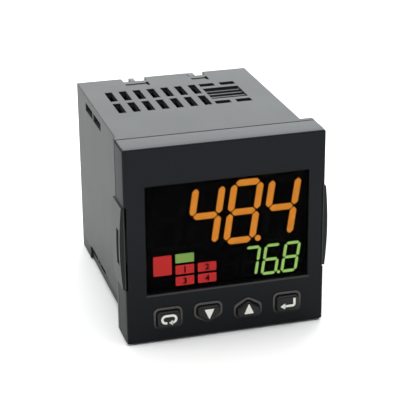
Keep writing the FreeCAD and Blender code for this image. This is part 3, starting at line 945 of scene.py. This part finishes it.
class Segment(Enum):
    """The seven bars of a digit."""

    TOP = "a"
    UPPER_RIGHT = "b"
    LOWER_RIGHT = "c"
    BOTTOM = "d"
    LOWER_LEFT = "e"
    UPPER_LEFT = "f"
    MIDDLE = "g"


class Numeral(Enum):
    """The bars that each numeral lights."""

    BLANK = ""
    FOUR = "bcfg"
    SIX = "acdefg"
    SEVEN = "abc"
    EIGHT = "abcdefg"


class KeyShape(Enum):
    """The outline of a key."""

    PLAIN = "plain"
    POINTS_DOWN = "down"
    POINTS_UP = "up"


CASE = CasePlastic(
    "case_plastic_moulded", (0.041, 0.0432, 0.0432), 0.5, specular=0.2, grain=1700.0, grain_depth=0.00002
)
BEZEL = BezelPlastic(
    "bezel_plastic_moulded", (0.009, 0.0102, 0.0125), 0.3, specular=0.1, grain=2200.0, grain_depth=0.000006
)
BLOCK = MouldedPlastic("block_plastic_moulded", (0.022, 0.023, 0.025), 0.5)
KEYCAP = MouldedPlastic(
    "key_plastic_moulded", (0.006, 0.0061, 0.0062), 0.34, specular=0.26, grain=2400.0, grain_depth=0.000006
)
RUBBER = MouldedPlastic("seal_rubber_moulded", (0.012, 0.012, 0.012), 0.75, specular=0.2)
WINDOW = SmokedWindow("window_smoked", (0.001, 0.001, 0.0012), 0.16)
DISPLAY = MouldedPlastic("display_black", (0.0012, 0.0012, 0.0016), 0.6, specular=0.05)
UNLIT = MouldedPlastic("light_cell_unlit", (0.0024, 0.0020, 0.0024), 0.6, specular=0.1)
ORANGE = LightCell("orange_cell_lit", (1.0, 0.345, 0.032), 0.5, glow=1.34)
GREEN = LightCell("green_cell_lit", (0.50, 0.86, 0.20), 0.5, glow=1.25)
RED = LightCell("red_cell_lit", (1.0, 0.052, 0.050), 0.5, glow=1.5)
INK = Finish("black_ink", (0.004, 0.002, 0.002), 0.6)
LEGEND = Finish("key_legend_print", (0.8, 0.8, 0.72), 0.5)
LAMINATE = SolderMask("board_lacquered", (0.012, 0.09, 0.045), 0.34)
SWITCH = MouldedPlastic("switch_plastic_moulded", (0.03, 0.03, 0.03), 0.4)
BUTTON = MouldedPlastic("button_plastic_moulded", (0.62, 0.6, 0.55), 0.4)
HEADER = MouldedPlastic("header_plastic_moulded", (0.02, 0.02, 0.02), 0.42)
FERRITE = SinteredCore("ferrite_sintered", (0.045, 0.045, 0.048), 0.62)
TAPE = WoundTape("coil_tape_wound", (0.72, 0.5, 0.05), 0.3)
RELAY = MouldedPlastic("relay_case_moulded", (0.03, 0.09, 0.32), 0.3, grain=2400.0, grain_depth=0.000004)
CHIP = MouldedPlastic("chip_epoxy_moulded", (0.018, 0.018, 0.019), 0.55)
BRASS = Plated("terminal_tinned", (0.72, 0.66, 0.45), 0.34)
STEEL = Plated("screw_zinc", (0.66, 0.66, 0.66), 0.3)
FLOOR = StageFloor("white_sheet", (0.95, 0.95, 0.95), 0.9)


@dataclass
class Sleeve:
    """The moulded sleeve with its flange and ears. Sizes in millimetres."""

    edge: float = 0.12

    def build(self, maker: Maker) -> None:
        """Eases the moulding's edges."""
        maker.eased("case_shell", CASE, self.edge)


@dataclass
class RearTerminals:
    """The terminal block with its contacts, clamp plates and screws. Sizes in millimetres.

    A head's edge is rounded by two steps, and its middle point lies as far in as it lies down.
    """

    poles: int = 8
    block_edge: float = 0.18
    plate_edge: float = 0.12
    head_radius: float = 2.4
    head_height: float = 1.6
    head_round: float = 0.3
    round_middle: float = 0.09
    rim_height: float = 0.75
    slot_width: float = 0.8
    shank_radius: float = 1.45
    shank_length: float = 4.5
    tip_radius: float = 1.015
    tip_length: float = 0.5
    sides: int = 28

    def half_head(self) -> Outline:
        """One side of a slotted head: the arc of the circle beyond half the slot's width.

        Returns:
            X and Z of its points.
        """
        start = math.asin(self.slot_width / 2 / self.head_radius)
        turn = np.linspace(start, math.pi - start, self.sides // 2)
        return self.head_radius * np.column_stack([np.cos(turn), np.sin(turn)])

    def screw(self, seat_y: float) -> list[Skin]:
        """A slotted screw at X = Z = 0 with its head on the clamp plate.

        Args:
            seat_y: where the head rests.

        Returns:
            The shank with the head's lower part, and the head's two halves beside the slot.
        """
        lower = [
            (self.tip_radius, -self.shank_length),
            (self.shank_radius, self.tip_length - self.shank_length),
            (self.shank_radius, 0.0),
            (self.head_radius, 0.0),
            (self.head_radius, self.rim_height),
        ]
        top_y = seat_y + self.head_height
        upper = [
            (0.0, seat_y + self.rim_height),
            (0.0, top_y - self.head_round),
            (self.round_middle, top_y - self.round_middle),
            (self.head_round, top_y),
        ]
        half = self.half_head()
        shank = turned(lower, Vector((0, seat_y, 0)), Vector((0, 1, 0)), self.sides)
        return [shank, raised(half, upper), raised(-half, upper)]

    def build(self, maker: Maker) -> None:
        """Eases the block and the plates, dresses the contacts and makes the screws.

        Args:
            maker: makes and dresses the pieces.
        """
        maker.eased("rear_terminal_block", BLOCK, self.block_edge)
        maker.dress("terminal_contacts", BRASS)
        maker.eased("terminal_clamp_plates", STEEL, self.plate_edge)
        seat_y = corners_of("terminal_clamp_plates")[1].y
        low, high = corners_of("terminal_screws")
        column_x = high.x - self.head_radius
        skins = []
        for z in np.linspace(low.z + self.head_radius, high.z - self.head_radius, self.poles):
            for part in self.screw(seat_y):
                skins += [part.moved(column_x, 0, z), part.moved(-column_x, 0, z)]
        screws = joined(skins)
        maker.piece("terminal_screws_slotted", screws, "case", "screw_steel", STEEL, ("terminal_screws",))


@dataclass
class FrontPanel:
    """The bezel, its seal and the smoked window. Sizes in millimetres."""

    bezel_edge: float = 0.12
    bezel_steps: int = 3
    rims: Rims = Rims()

    def build(self, maker: Maker) -> None:
        """Eases the bezel's edges, and dresses the seal and the window.

        Args:
            maker: makes and dresses the pieces.
        """
        maker.eased("front_bezel", BEZEL, self.bezel_edge, self.bezel_steps, self.rims)
        maker.dress("front_seal", RUBBER)
        maker.dress("window_lens", WINDOW)


@dataclass
class DigitRow:
    """A row of four slanted digits of seven bars. Sizes in millimetres, and the slant in degrees.

    The pitch lies between neighbouring digits, the spacing between a digit's upright bars, and the
    rise between its lying bars. The width is a bar's own, and the gap is at each of its ends.
    """

    name: str
    finish: Finish
    slot: str
    numerals: tuple[Numeral, ...]
    first_x: float
    middle_z: float
    pitch: float
    spacing: float
    rise: float
    width: float
    gap: float
    corner: float
    point_radius: float
    corner_steps: int = 3
    point_after: int = 2
    point_sides: int = 20
    slant: float = 8.5
    front_y: float = -10.7
    back_y: float = -10.4
    soft: float = 0.06

    def lean(self) -> float:
        """How far a bar leans to the right for each millimetre of height."""
        return math.tan(math.radians(self.slant))

    def bar(self, segment: Segment) -> Outline:
        """One bar's outline about the digit's middle, before the slant.

        A lying bar is a hexagon with points at its ends. An upright one is the same, turned a quarter.

        Args:
            segment: which bar.

        Returns:
            X and Z of its corners.
        """
        side = self.spacing / 2
        half = self.width / 2
        lying = {Segment.TOP: self.rise, Segment.MIDDLE: 0.0, Segment.BOTTOM: -self.rise}
        upright = {
            Segment.UPPER_RIGHT: (side, self.rise / 2),
            Segment.LOWER_RIGHT: (side, -self.rise / 2),
            Segment.LOWER_LEFT: (-side, -self.rise / 2),
            Segment.UPPER_LEFT: (-side, self.rise / 2),
        }
        length = (side if segment in lying else self.rise / 2) - self.gap
        along = np.array([-length, half - length, length - half, length, length - half, half - length])
        across = np.array([0.0, -half, -half, 0.0, half, half])
        if segment in lying:
            return np.column_stack([along, across + lying[segment]])
        x, z = upright[segment]
        return np.column_stack([x - across, z + along])

    def slab(self, outline: Outline) -> Skin:
        """A thin slab with a softened front edge."""
        profile = [(0.0, self.back_y), (0.0, self.front_y + self.soft), (self.soft, self.front_y)]
        return raised(outline, profile)

    def digit(self, index: int, segments: list[Segment]) -> list[Skin]:
        """Some bars of one digit, leaned over: x grows by tan(slant) times the height.

        Args:
            index: the digit's place in the row, from the left.
            segments: which bars.

        Returns:
            The bars.
        """
        centre = np.array([self.first_x + index * self.pitch, self.middle_z])
        leaned = np.array([[1.0, 0.0], [self.lean(), 1.0]])
        outlines = [rounded(self.bar(segment), self.corner, self.corner_steps) for segment in segments]
        return [self.slab(centre + outline @ leaned) for outline in outlines]

    def point(self, index: int) -> Skin:
        """The decimal point that follows a digit.

        Args:
            index: the digit's place in the row, from the left.

        Returns:
            The point.
        """
        x = self.first_x + (index + 0.5) * self.pitch - self.lean() * self.rise
        turn = np.arange(self.point_sides) * math.tau / self.point_sides
        circle = self.point_radius * np.column_stack([np.cos(turn), np.sin(turn)])
        return self.slab(circle + np.array([x, self.middle_z - self.rise]))

    def build(self, maker: Maker) -> None:
        """Makes the lit bars as one piece and the unlit bars as another.

        Args:
            maker: makes and dresses the pieces.
        """
        lit, unlit = [], []
        for index, numeral in enumerate(self.numerals):
            lit += self.digit(index, [bar for bar in Segment if bar.value in numeral.value])
            unlit += self.digit(index, [bar for bar in Segment if bar.value not in numeral.value])
            if index < len(self.numerals) - 1:
                bars = lit if index == self.point_after else unlit
                bars.append(self.point(index))
        maker.piece(f"{self.name}_lit", joined(lit), "front_unit", self.slot, self.finish, (self.name,))
        maker.piece(f"{self.name}_unlit", joined(unlit), "front_unit", self.slot, UNLIT)


MAIN_DIGITS = DigitRow(
    name="main_digits",
    finish=ORANGE,
    slot="orange_light",
    numerals=(Numeral.BLANK, Numeral.FOUR, Numeral.EIGHT, Numeral.FOUR),
    first_x=-20.3,
    middle_z=8.12,
    pitch=13.72,
    spacing=9.4,
    rise=10.65,
    width=2.35,
    gap=0.3,
    corner=0.42,
    point_radius=1.1,
)
SMALL_DIGITS = DigitRow(
    name="small_digits",
    finish=GREEN,
    slot="green_light",
    numerals=(Numeral.BLANK, Numeral.SEVEN, Numeral.SIX, Numeral.EIGHT),
    first_x=2.6,
    middle_z=-11.25,
    pitch=7.34,
    spacing=5.0,
    rise=5.3,
    width=1.05,
    gap=0.16,
    corner=0.16,
    point_radius=0.6,
)


@dataclass
class LampFields:
    """The coloured fields beside the small digits.

    Sizes are in millimetres. The numerals' weight, and the distance within which their points are
    welded, are shares of the letters' own size.
    """

    front_y: float = -10.66
    print_y: float = -10.69
    back_y: float = -10.4
    corner: float = 0.25
    corner_steps: int = 3
    numeral_height: float = 2.45
    numeral_weight: float = 0.045
    curve_steps: int = 3
    weld_within: float = 0.0001

    def lamp(self, low: Vector, high: Vector) -> Skin:
        """One field with small round corners.

        Args:
            low: its lowest corner.
            high: its highest corner.

        Returns:
            The field.
        """
        middle = (low + high) / 2
        square = rectangle(middle.x, middle.z, high.x - low.x, high.z - low.z)
        outline = rounded(square, self.corner, self.corner_steps)
        return raised(outline, [(0.0, self.back_y), (0.0, self.front_y)])

    def letter(self, text: str) -> Skin:
        """A plain numeral, one unit thick.

        Args:
            text: the numeral.

        Returns:
            Its surface in the letters' own size, with X across, Y up and Z through it.
        """
        curve = bpy.data.curves.new(f"numeral_{text}", "FONT")
        curve.body = text
        curve.resolution_u = self.curve_steps
        curve.offset = self.numeral_weight
        drawn = bpy.data.objects.new(f"numeral_{text}", curve)
        flat = bpy.data.meshes.new_from_object(drawn)
        bpy.data.objects.remove(drawn)
        bpy.data.curves.remove(curve)
        shape = bmesh.new()
        shape.from_mesh(flat)
        bpy.data.meshes.remove(flat)
        bmesh.ops.remove_doubles(shape, verts=shape.verts, dist=self.weld_within)
        made = bmesh.ops.extrude_face_region(shape, geom=list(shape.faces))
        top = [part for part in made["geom"] if isinstance(part, bmesh.types.BMVert)]
        bmesh.ops.translate(shape, vec=(0, 0, 1), verts=top)
        bmesh.ops.recalc_face_normals(shape, faces=shape.faces)
        points = np.array([vert.co[:] for vert in shape.verts])
        faces = [tuple(vert.index for vert in face.verts) for face in shape.faces]
        shape.free()
        return Skin(points, faces)

    def numeral(self, text: str, x: float, z: float) -> Skin:
        """A plain numeral on a field, as a thin print.

        Args:
            text: the numeral.
            x: its middle.
            z: its middle.

        Returns:
            The print's surface.
        """
        letter = self.letter(text)
        low, high = letter.points.min(axis=0), letter.points.max(axis=0)
        scale = self.numeral_height / (high[1] - low[1])
        across, up, _ = ((letter.points - (low + high) / 2) * scale).T
        depth = self.front_y + (self.print_y - self.front_y) * letter.points[:, 2]
        return Skin(np.column_stack([x + across, depth, z + up]), letter.faces).outward()

    def build(self, maker: Maker) -> None:
        """Makes each field, and the numerals on the four red ones.

        Args:
            maker: makes and dresses the pieces.
        """
        for node, finish in (("alarm_lamp", RED), ("unit_lamp", GREEN)):
            skin = self.lamp(*corners_of(node))
            maker.piece(f"{node}_lit", skin, "front_unit", slot_of(node), finish, (node,))
        low, high = corners_of("channel_lamps")
        unit_low, unit_high = corners_of("unit_lamp")
        half = Vector(((unit_high.x - unit_low.x) / 2, 0, (unit_high.z - unit_low.z) / 2))
        columns = (low.x + half.x, high.x - half.x)
        rows = (high.z - half.z, low.z + half.z)
        lamps, numerals = [], []
        for number, (z, x) in enumerate([(z, x) for z in rows for x in columns], start=1):
            middle = Vector((x, 0, z))
            lamps.append(self.lamp(middle - half, middle + half))
            numerals.append(self.numeral(str(number), x, z))
        maker.piece("channel_lamps_lit", joined(lamps), "front_unit", "red_light", RED, ("channel_lamps",))
        maker.piece("channel_numerals", joined(numerals), "front_unit", "display_plastic", INK)


@dataclass(frozen=True)
class Sign:
    """A sign printed on a key, about the key's middle. Sizes in millimetres."""

    line_width: float = 0.86

    def outlines(self) -> list[Outline]:
        """The outlines that are printed. Each kind of sign has its own."""
        return []

    def head(self, base_x: float, tip_x: float, z: float, half_height: float) -> Outline:
        """An arrow's head that points to the left or the right."""
        return np.array([(base_x, z + half_height), (tip_x, z), (base_x, z - half_height)])

    def stroke(self, path: Outline) -> Outline:
        """A line of even width along an open path.

        Each side is the path moved by half the width along (m + n) / (1 + m . n) of the normals m and
        n of the runs that meet, as in drawn_in.

        Args:
            path: X and Z of its points.

        Returns:
            The line's outline.
        """
        run = np.diff(path, axis=0)
        normal = np.column_stack([-run[:, 1], run[:, 0]]) / np.linalg.norm(run, axis=1, keepdims=True)
        before = np.concatenate([normal[:1], normal])
        after = np.concatenate([normal, normal[-1:]])
        reach = (before + after) / (1 + np.sum(before * after, axis=1, keepdims=True))
        half = self.line_width / 2
        return np.concatenate([path + half * reach, (path - half * reach)[::-1]])


@dataclass(frozen=True)
class Triangle(Sign):
    """A filled triangle that points up or down."""

    upwards: bool = True
    half_width: float = 1.75
    base: float = 1.9
    point: float = 2.0
    corner: float = 0.12
    corner_steps: int = 2

    def outlines(self) -> list[Outline]:
        """The triangle.

        Returns:
            Its outline alone.
        """
        left, right = (-self.half_width, -self.base), (self.half_width, -self.base)
        corners = np.array([left, right, (0.0, self.point)])
        if not self.upwards:
            corners = np.array([left, (0.0, self.point), right]) * np.array([1.0, -1.0])
        return [rounded(corners, self.corner, self.corner_steps)]


@dataclass(frozen=True)
class Loop(Sign):
    """A long loop, open at its lower side, where an arrow's head points into the gap.

    The line starts at one X and ends at another, and the head lies between two more.
    """

    half_run: float = 1.15
    radius: float = 1.35
    arc_steps: int = 8
    height: float = 0.1
    starts: float = 0.9
    ends: float = -0.75
    head_base: float = 1.25
    head_tip: float = -0.1
    head_half: float = 1.0

    def outlines(self) -> list[Outline]:
        """The line and its head: the line is a half circle at the right, then one at the left.

        Returns:
            The two outlines.
        """
        angle = np.linspace(-0.5, 0.5, self.arc_steps + 1) * math.pi
        arc = np.column_stack([np.cos(angle), np.sin(angle)]) * self.radius
        right = arc + np.array([self.half_run, self.height])
        left = np.array([-self.half_run, self.height]) - arc
        bottom = self.height - self.radius
        path = np.concatenate([[(self.starts, bottom)], right, left, [(self.ends, bottom)]])
        return [self.stroke(path), self.head(self.head_base, self.head_tip, bottom, self.head_half)]


@dataclass(frozen=True)
class Hook(Sign):
    """A line that comes down at the right and bends to the left, with an arrow's head."""

    top: float = 1.9
    right: float = 2.35
    bottom: float = -0.95
    left: float = -1.3
    bend: float = 0.7
    bend_steps: int = 5
    far: float = 9.0
    head_base: float = -1.1
    head_tip: float = -2.85
    head_half: float = 1.15

    def outlines(self) -> list[Outline]:
        """The line and its head: the bend is the middle one of three corners, the others lie far out.

        Returns:
            The two outlines.
        """
        corners = np.array([(self.right, self.far), (self.right, self.bottom), (-self.far, self.bottom)])
        count = self.bend_steps + 1
        bend = rounded(corners, self.bend, self.bend_steps)[count : 2 * count]
        path = np.concatenate([[(self.right, self.top)], bend, [(self.left, self.bottom)]])
        return [self.stroke(path), self.head(self.head_base, self.head_tip, self.bottom, self.head_half)]


@dataclass
class Key:
    """One key: a cap with a raised, tapered crown, a flange and a stem, and its printed sign.

    Sizes in millimetres. Past the shoulder the crown is drawn in as it rises, first hardly, then
    quickly: its profile pairs how far in with how far above the shoulder.
    """

    name: str
    shape: KeyShape
    sign: Sign
    width: float = 8.2
    height: float = 5.9
    corner: float = 1.2
    corner_steps: int = 5
    shoulder_drop: float = 2.8
    flange: float = 0.8
    flange_back_y: float = -10.5
    flange_front_y: float = -11.3
    shoulder_y: float = -14.35
    profile: tuple[tuple[float, float], ...] = (
        (0.0, 0.0), (0.08, 0.3), (0.26, 0.6), (0.46, 0.78), (0.62, 0.86), (0.76, 0.89)
    )
    print_depth: float = 0.05
    stem_width: float = 2.4

    @property
    def top_y(self) -> float:
        """Where the cap's flat top lies."""
        return self.shoulder_y - self.profile[-1][1]

    def outline(self, x: float, z: float) -> Outline:
        """The key's rounded outline about a centre.

        Args:
            x: the centre.
            z: the centre.

        Returns:
            X and Z of its points.
        """
        if self.shape is KeyShape.PLAIN:
            return rounded(rectangle(x, z, self.width, self.height), self.corner, self.corner_steps)
        right, top = self.width / 2, self.height / 2
        shoulder = top - self.shoulder_drop
        corners = np.array([(-right, -top), (right, -top), (right, shoulder), (0, top), (-right, shoulder)])
        if self.shape is KeyShape.POINTS_DOWN:
            corners = (corners * np.array([1, -1]))[::-1]
        return np.array([x, z]) + rounded(corners, self.corner, self.corner_steps)

    def cap(self, x: float, z: float, stem_end_y: float) -> Skin:
        """The cap with its flange and stem.

        Args:
            x: its middle.
            z: its middle.
            stem_end_y: where the stem ends.

        Returns:
            The cap's surface.
        """
        rising = [(inset, self.shoulder_y - above) for inset, above in self.profile]
        crown = raised(self.outline(x, z), [(0.0, self.flange_front_y), *rising])
        wide = rectangle(x, z, self.width + 2 * self.flange, self.height + 2 * self.flange)
        flange = raised(wide, [(0.0, self.flange_back_y), (0.0, self.flange_front_y)])
        square = rectangle(x, z, self.stem_width, self.stem_width)
        stem = raised(square, [(0.0, stem_end_y), (0.0, self.flange_back_y)])
        return joined([crown, flange, stem])

    def printed(self, outline: Outline) -> Skin:
        """A sign's outline as a thin print on the cap's top."""
        return raised(outline, [(0.0, self.top_y), (0.0, self.top_y - self.print_depth)])

    def build(self, maker: Maker) -> None:
        """Makes the cap with its sign, and dresses the switch's button.

        Args:
            maker: makes and dresses the pieces.
        """
        node = f"key_{self.name}"
        low, high = corners_of(node)
        x, z = (low.x + high.x) / 2, (low.z + high.z) / 2
        maker.piece(f"{node}_cap", self.cap(x, z, high.y), node, slot_of(node), KEYCAP, (node,))
        prints = [self.printed(outline + np.array([x, z])) for outline in self.sign.outlines()]
        maker.piece(f"{node}_legend", joined(prints), node, slot_of(node), LEGEND)
        maker.dress(f"switch_button_{self.name}", BUTTON)


KEYS = (
    Key("menu", KeyShape.PLAIN, Loop()),
    Key("down", KeyShape.POINTS_DOWN, Triangle(upwards=False)),
    Key("up", KeyShape.POINTS_UP, Triangle()),
    Key("enter", KeyShape.PLAIN, Hook()),
)


@dataclass(frozen=True)
class Can:
    """A capacitor can that stands up from its board. Sizes in millimetres.

    Its side has a rolled groove near the foot, and its end has a sunk middle inside a lip. The
    groove's levels are where it starts, gets deepest, starts to rise and ends.
    """

    foot_edge: float = 0.3
    groove_depth: float = 0.35
    groove_levels: tuple[float, float, float, float] = (1.2, 1.6, 1.9, 2.4)
    end_edge: float = 0.5
    end_round: float = 0.15
    lip_share: float = 0.78
    well_share: float = 0.74
    well_depth: float = 0.2
    centre_radius: float = 0.05
    sleeve_stops: float = 0.1
    sleeve_colour: Colour = (0.02, 0.024, 0.035)
    sleeve_roughness: float = 0.3
    sides: int = 36

    def skin(self, radius: float, base: Vector, length: float) -> Skin:
        """The can's turned form.

        Args:
            radius: its radius.
            base: the middle of its foot.
            length: its height.

        Returns:
            The can's surface.
        """
        waist = radius - self.groove_depth
        starts, deepest, rises, ends = self.groove_levels
        sunk = length - self.well_depth
        profile = [
            (radius - self.foot_edge, 0.0),
            (radius, self.foot_edge),
            (radius, starts),
            (waist, deepest),
            (waist, rises),
            (radius, ends),
            (radius, length - self.end_edge),
            (radius - self.end_round, length - self.end_round),
            (radius - self.end_edge, length),
            (radius * self.lip_share, length),
            (radius * self.well_share, sunk),
            (self.centre_radius, sunk),
        ]
        return turned(profile, base, Vector((1, 0, 0)), self.sides)

    def finish(self, name: str, end_x: float) -> SleevedCan:
        """The sleeve's finish, which stops just before the can's end."""
        sleeve_end = (end_x - self.sleeve_stops) * MM
        return SleevedCan(name, self.sleeve_colour, self.sleeve_roughness, end=sleeve_end)


@dataclass(frozen=True)
class Leg:
    """A chip's gull wing leg: out, down in a slope, and out again along the board.

    Sizes in millimetres. Its path pairs the height over the board with the distance from the chip.
    """

    path: tuple[tuple[float, float], ...] = ((0.9, 0.0), (0.9, 0.35), (0.12, 0.75), (0.0, 0.8), (0.0, 1.25))
    thickness: float = 0.16
    width: float = 0.4

    def skin(self) -> Skin:
        """The leg's surface: the path, carried along Z.

        Returns:
            The surface about Z = 0, with X as the height and Y away from the chip.
        """
        path = np.array(self.path)
        section = np.concatenate([path, path[::-1] + np.array([self.thickness, 0.0])])
        sides = [np.full(len(section), z) for z in (-self.width / 2, self.width / 2)]
        return ringed(np.stack([np.column_stack([section, side]) for side in sides]))


@dataclass
class Electronics:
    """The boards and what stands on them. Sizes in millimetres."""

    can: Can = Can()
    leg: Leg = Leg()
    leg_pitch: float = 1.27
    legs_per_side: int = 7
    switch_edge: float = 0.15
    header_edge: float = 0.25
    core_edge: float = 0.3
    coil_edge: float = 0.9
    coil_steps: int = 4
    relay_edge: float = 0.5
    relay_steps: int = 3
    chip_edge: float = 0.2

    def cans(self, maker: Maker) -> None:
        """The large can and the row of small ones on the power board.

        Args:
            maker: makes and dresses the pieces.
        """
        for node, count in (("bulk_capacitor", 1), ("smoothing_capacitors", 3)):
            low, high = corners_of(node)
            radius = (high.y - low.y) / 2
            length = high.x - low.x
            middle_y = (low.y + high.y) / 2
            levels = np.linspace(low.z + radius, high.z - radius, count)
            skins = [self.can.skin(radius, Vector((low.x, middle_y, z)), length) for z in levels]
            sleeve = self.can.finish(f"{node}_sleeve", high.x)
            maker.piece(f"{node}_turned", joined(skins), "front_unit", slot_of(node), sleeve, (node,))

    def chip_legs(self, maker: Maker) -> None:
        """Rows of legs along the chips' two upright sides.

        Args:
            maker: makes and dresses the pieces.
        """
        low, high = corners_of("control_chips")
        half_chip = (high.y - low.y) / 2
        places = (np.arange(self.legs_per_side) - (self.legs_per_side - 1) / 2) * self.leg_pitch
        leg = self.leg.skin()
        skins = []
        for middle_z in (low.z + half_chip, high.z - half_chip):
            for z in middle_z + places:
                skins.append(leg.scaled(x=-1.0).moved(high.x, high.y, z))
                skins.append(leg.scaled(x=-1.0, y=-1.0).moved(high.x, low.y, z))
        maker.piece("control_chip_legs", joined(skins), "front_unit", "terminal_brass", STEEL)

    def build(self, maker: Maker) -> None:
        """Dresses the boards and makes or eases what stands on them.

        Args:
            maker: makes and dresses the pieces.
        """
        for board in ("display_board", "power_board", "control_board"):
            maker.dress(board, LAMINATE)
        maker.dress("display_block", DISPLAY)
        maker.eased("switch_bodies", SWITCH, self.switch_edge)
        for node in ("power_board_header", "control_board_header"):
            maker.eased(node, HEADER, self.header_edge)
        maker.eased("transformer_core", FERRITE, self.core_edge)
        maker.eased("transformer_coil", TAPE, self.coil_edge, self.coil_steps)
        maker.eased("output_relays", RELAY, self.relay_edge, self.relay_steps)
        maker.eased("control_chips", CHIP, self.chip_edge)
        self.cans(maker)
        self.chip_legs(maker)


@dataclass(frozen=True)
class Softbox:
    """A square soft light that points at the object. Its place and its side are in metres."""

    name: str
    place: tuple[float, float, float]
    side: float
    radiance: float
    tint: Colour = (1.0, 1.0, 1.0)

    def build(self) -> None:
        """Makes the light.

        A flat light of side s and power p shines with p / (pi s s), which sets its power.
        """
        light = bpy.data.lights.new(self.name, "AREA")
        light.shape = "SQUARE"
        light.size = self.side
        light.energy = self.radiance * math.pi * self.side * self.side
        light.color = self.tint
        lamp = bpy.data.objects.new(self.name, light)
        lamp.location = self.place
        lamp.rotation_mode = "QUATERNION"
        lamp.rotation_quaternion = (-Vector(self.place)).to_track_quat("-Z", "Y")
        bpy.context.scene.collection.objects.link(lamp)


@dataclass
class Studio:
    """The sheet it stands on, the soft lights and the camera.

    Places are in metres, in the object's frame, and the lens and its sensor are in millimetres. One
    softbox is large and overhead, one behind gives the tops their sheen, and one is at the left.
    """

    floor_height: float = -0.036
    floor_slope: float = 0.0332
    floor_reach: float = 4.0
    softboxes: tuple[Softbox, ...] = (
        Softbox("overhead_box", (0.1, 0.05, 1.25), 2.0, 2.05),
        Softbox("rear_box", (0.42, 1.3, 0.75), 1.5, 3.35, (0.96, 0.99, 1.0)),
        Softbox("left_box", (-1.35, 0.1, 0.5), 1.0, 3.5, (1.0, 0.98, 0.93)),
    )
    air: Colour = (0.93, 0.97, 1.0)
    air_strength: float = 0.35
    camera_turn: tuple[float, float, float] = (1.9376, -0.2772, 0.1741)
    camera_place: tuple[float, float, float] = (-0.13256, -0.45203, 0.19869)
    lens: float = 130.49
    sensor: float = 36.0
    nearest: float = 0.01
    farthest: float = 50.0

    def floor(self) -> None:
        """A flat sheet that slopes a little in the object's frame: z = height + slope * y."""
        side = self.floor_reach
        corners = np.array([(-side, -side), (side, -side), (side, side), (-side, side)])
        points = np.column_stack([corners, self.floor_height + self.floor_slope * corners[:, 1]])
        mesh = bpy.data.meshes.new("floor_sheet")
        mesh.from_pydata(points.tolist(), [], [(0, 1, 2, 3)])
        mesh.materials.append(FLOOR.material())
        sheet = bpy.data.objects.new("floor_sheet", mesh)
        bpy.context.scene.collection.objects.link(sheet)

    def lights(self) -> None:
        """The softboxes, and an even light from the air around."""
        for softbox in self.softboxes:
            softbox.build()
        world = bpy.data.worlds.new("studio_air")
        world.use_nodes = True
        back = world.node_tree.nodes["Background"]
        back.inputs["Color"].default_value = (*self.air, 1.0)
        back.inputs["Strength"].default_value = self.air_strength
        bpy.context.scene.world = world

    def camera(self) -> None:
        """The camera where the photograph was taken from.

        The turn is the rotation, as an axis times its angle, that takes the object's frame to the
        camera's with Y down and Z ahead. Its inverse with Y and Z reversed is the camera's own turn.
        """
        lens = bpy.data.cameras.new("photograph_camera")
        lens.lens = self.lens
        lens.sensor_width = self.sensor
        lens.clip_start = self.nearest
        lens.clip_end = self.farthest
        camera = bpy.data.objects.new("photograph_camera", lens)
        axis = Vector(self.camera_turn)
        turn = Matrix.Rotation(axis.length, 3, axis.normalized())
        facing = turn.transposed() @ Matrix.Diagonal((1.0, -1.0, -1.0))
        camera.matrix_world = Matrix.Translation(self.camera_place) @ facing.to_4x4()
        bpy.context.scene.collection.objects.link(camera)
        bpy.context.scene.camera = camera
        bpy.context.scene.view_settings.view_transform = "Standard"

    def build(self) -> None:
        """Sets up the floor, the lights and the camera."""
        self.floor()
        self.lights()
        self.camera()


def main() -> None:
    """Builds the studio and each sub-assembly in order."""
    logging.basicConfig(level=logging.INFO, format="%(message)s")
    maker = Maker()
    Studio().build()
    Sleeve().build(maker)
    RearTerminals().build(maker)
    FrontPanel().build(maker)
    MAIN_DIGITS.build(maker)
    SMALL_DIGITS.build(maker)
    LampFields().build(maker)
    for key in KEYS:
        key.build(maker)
    Electronics().build(maker)


if __name__ == "__main__":
    main()
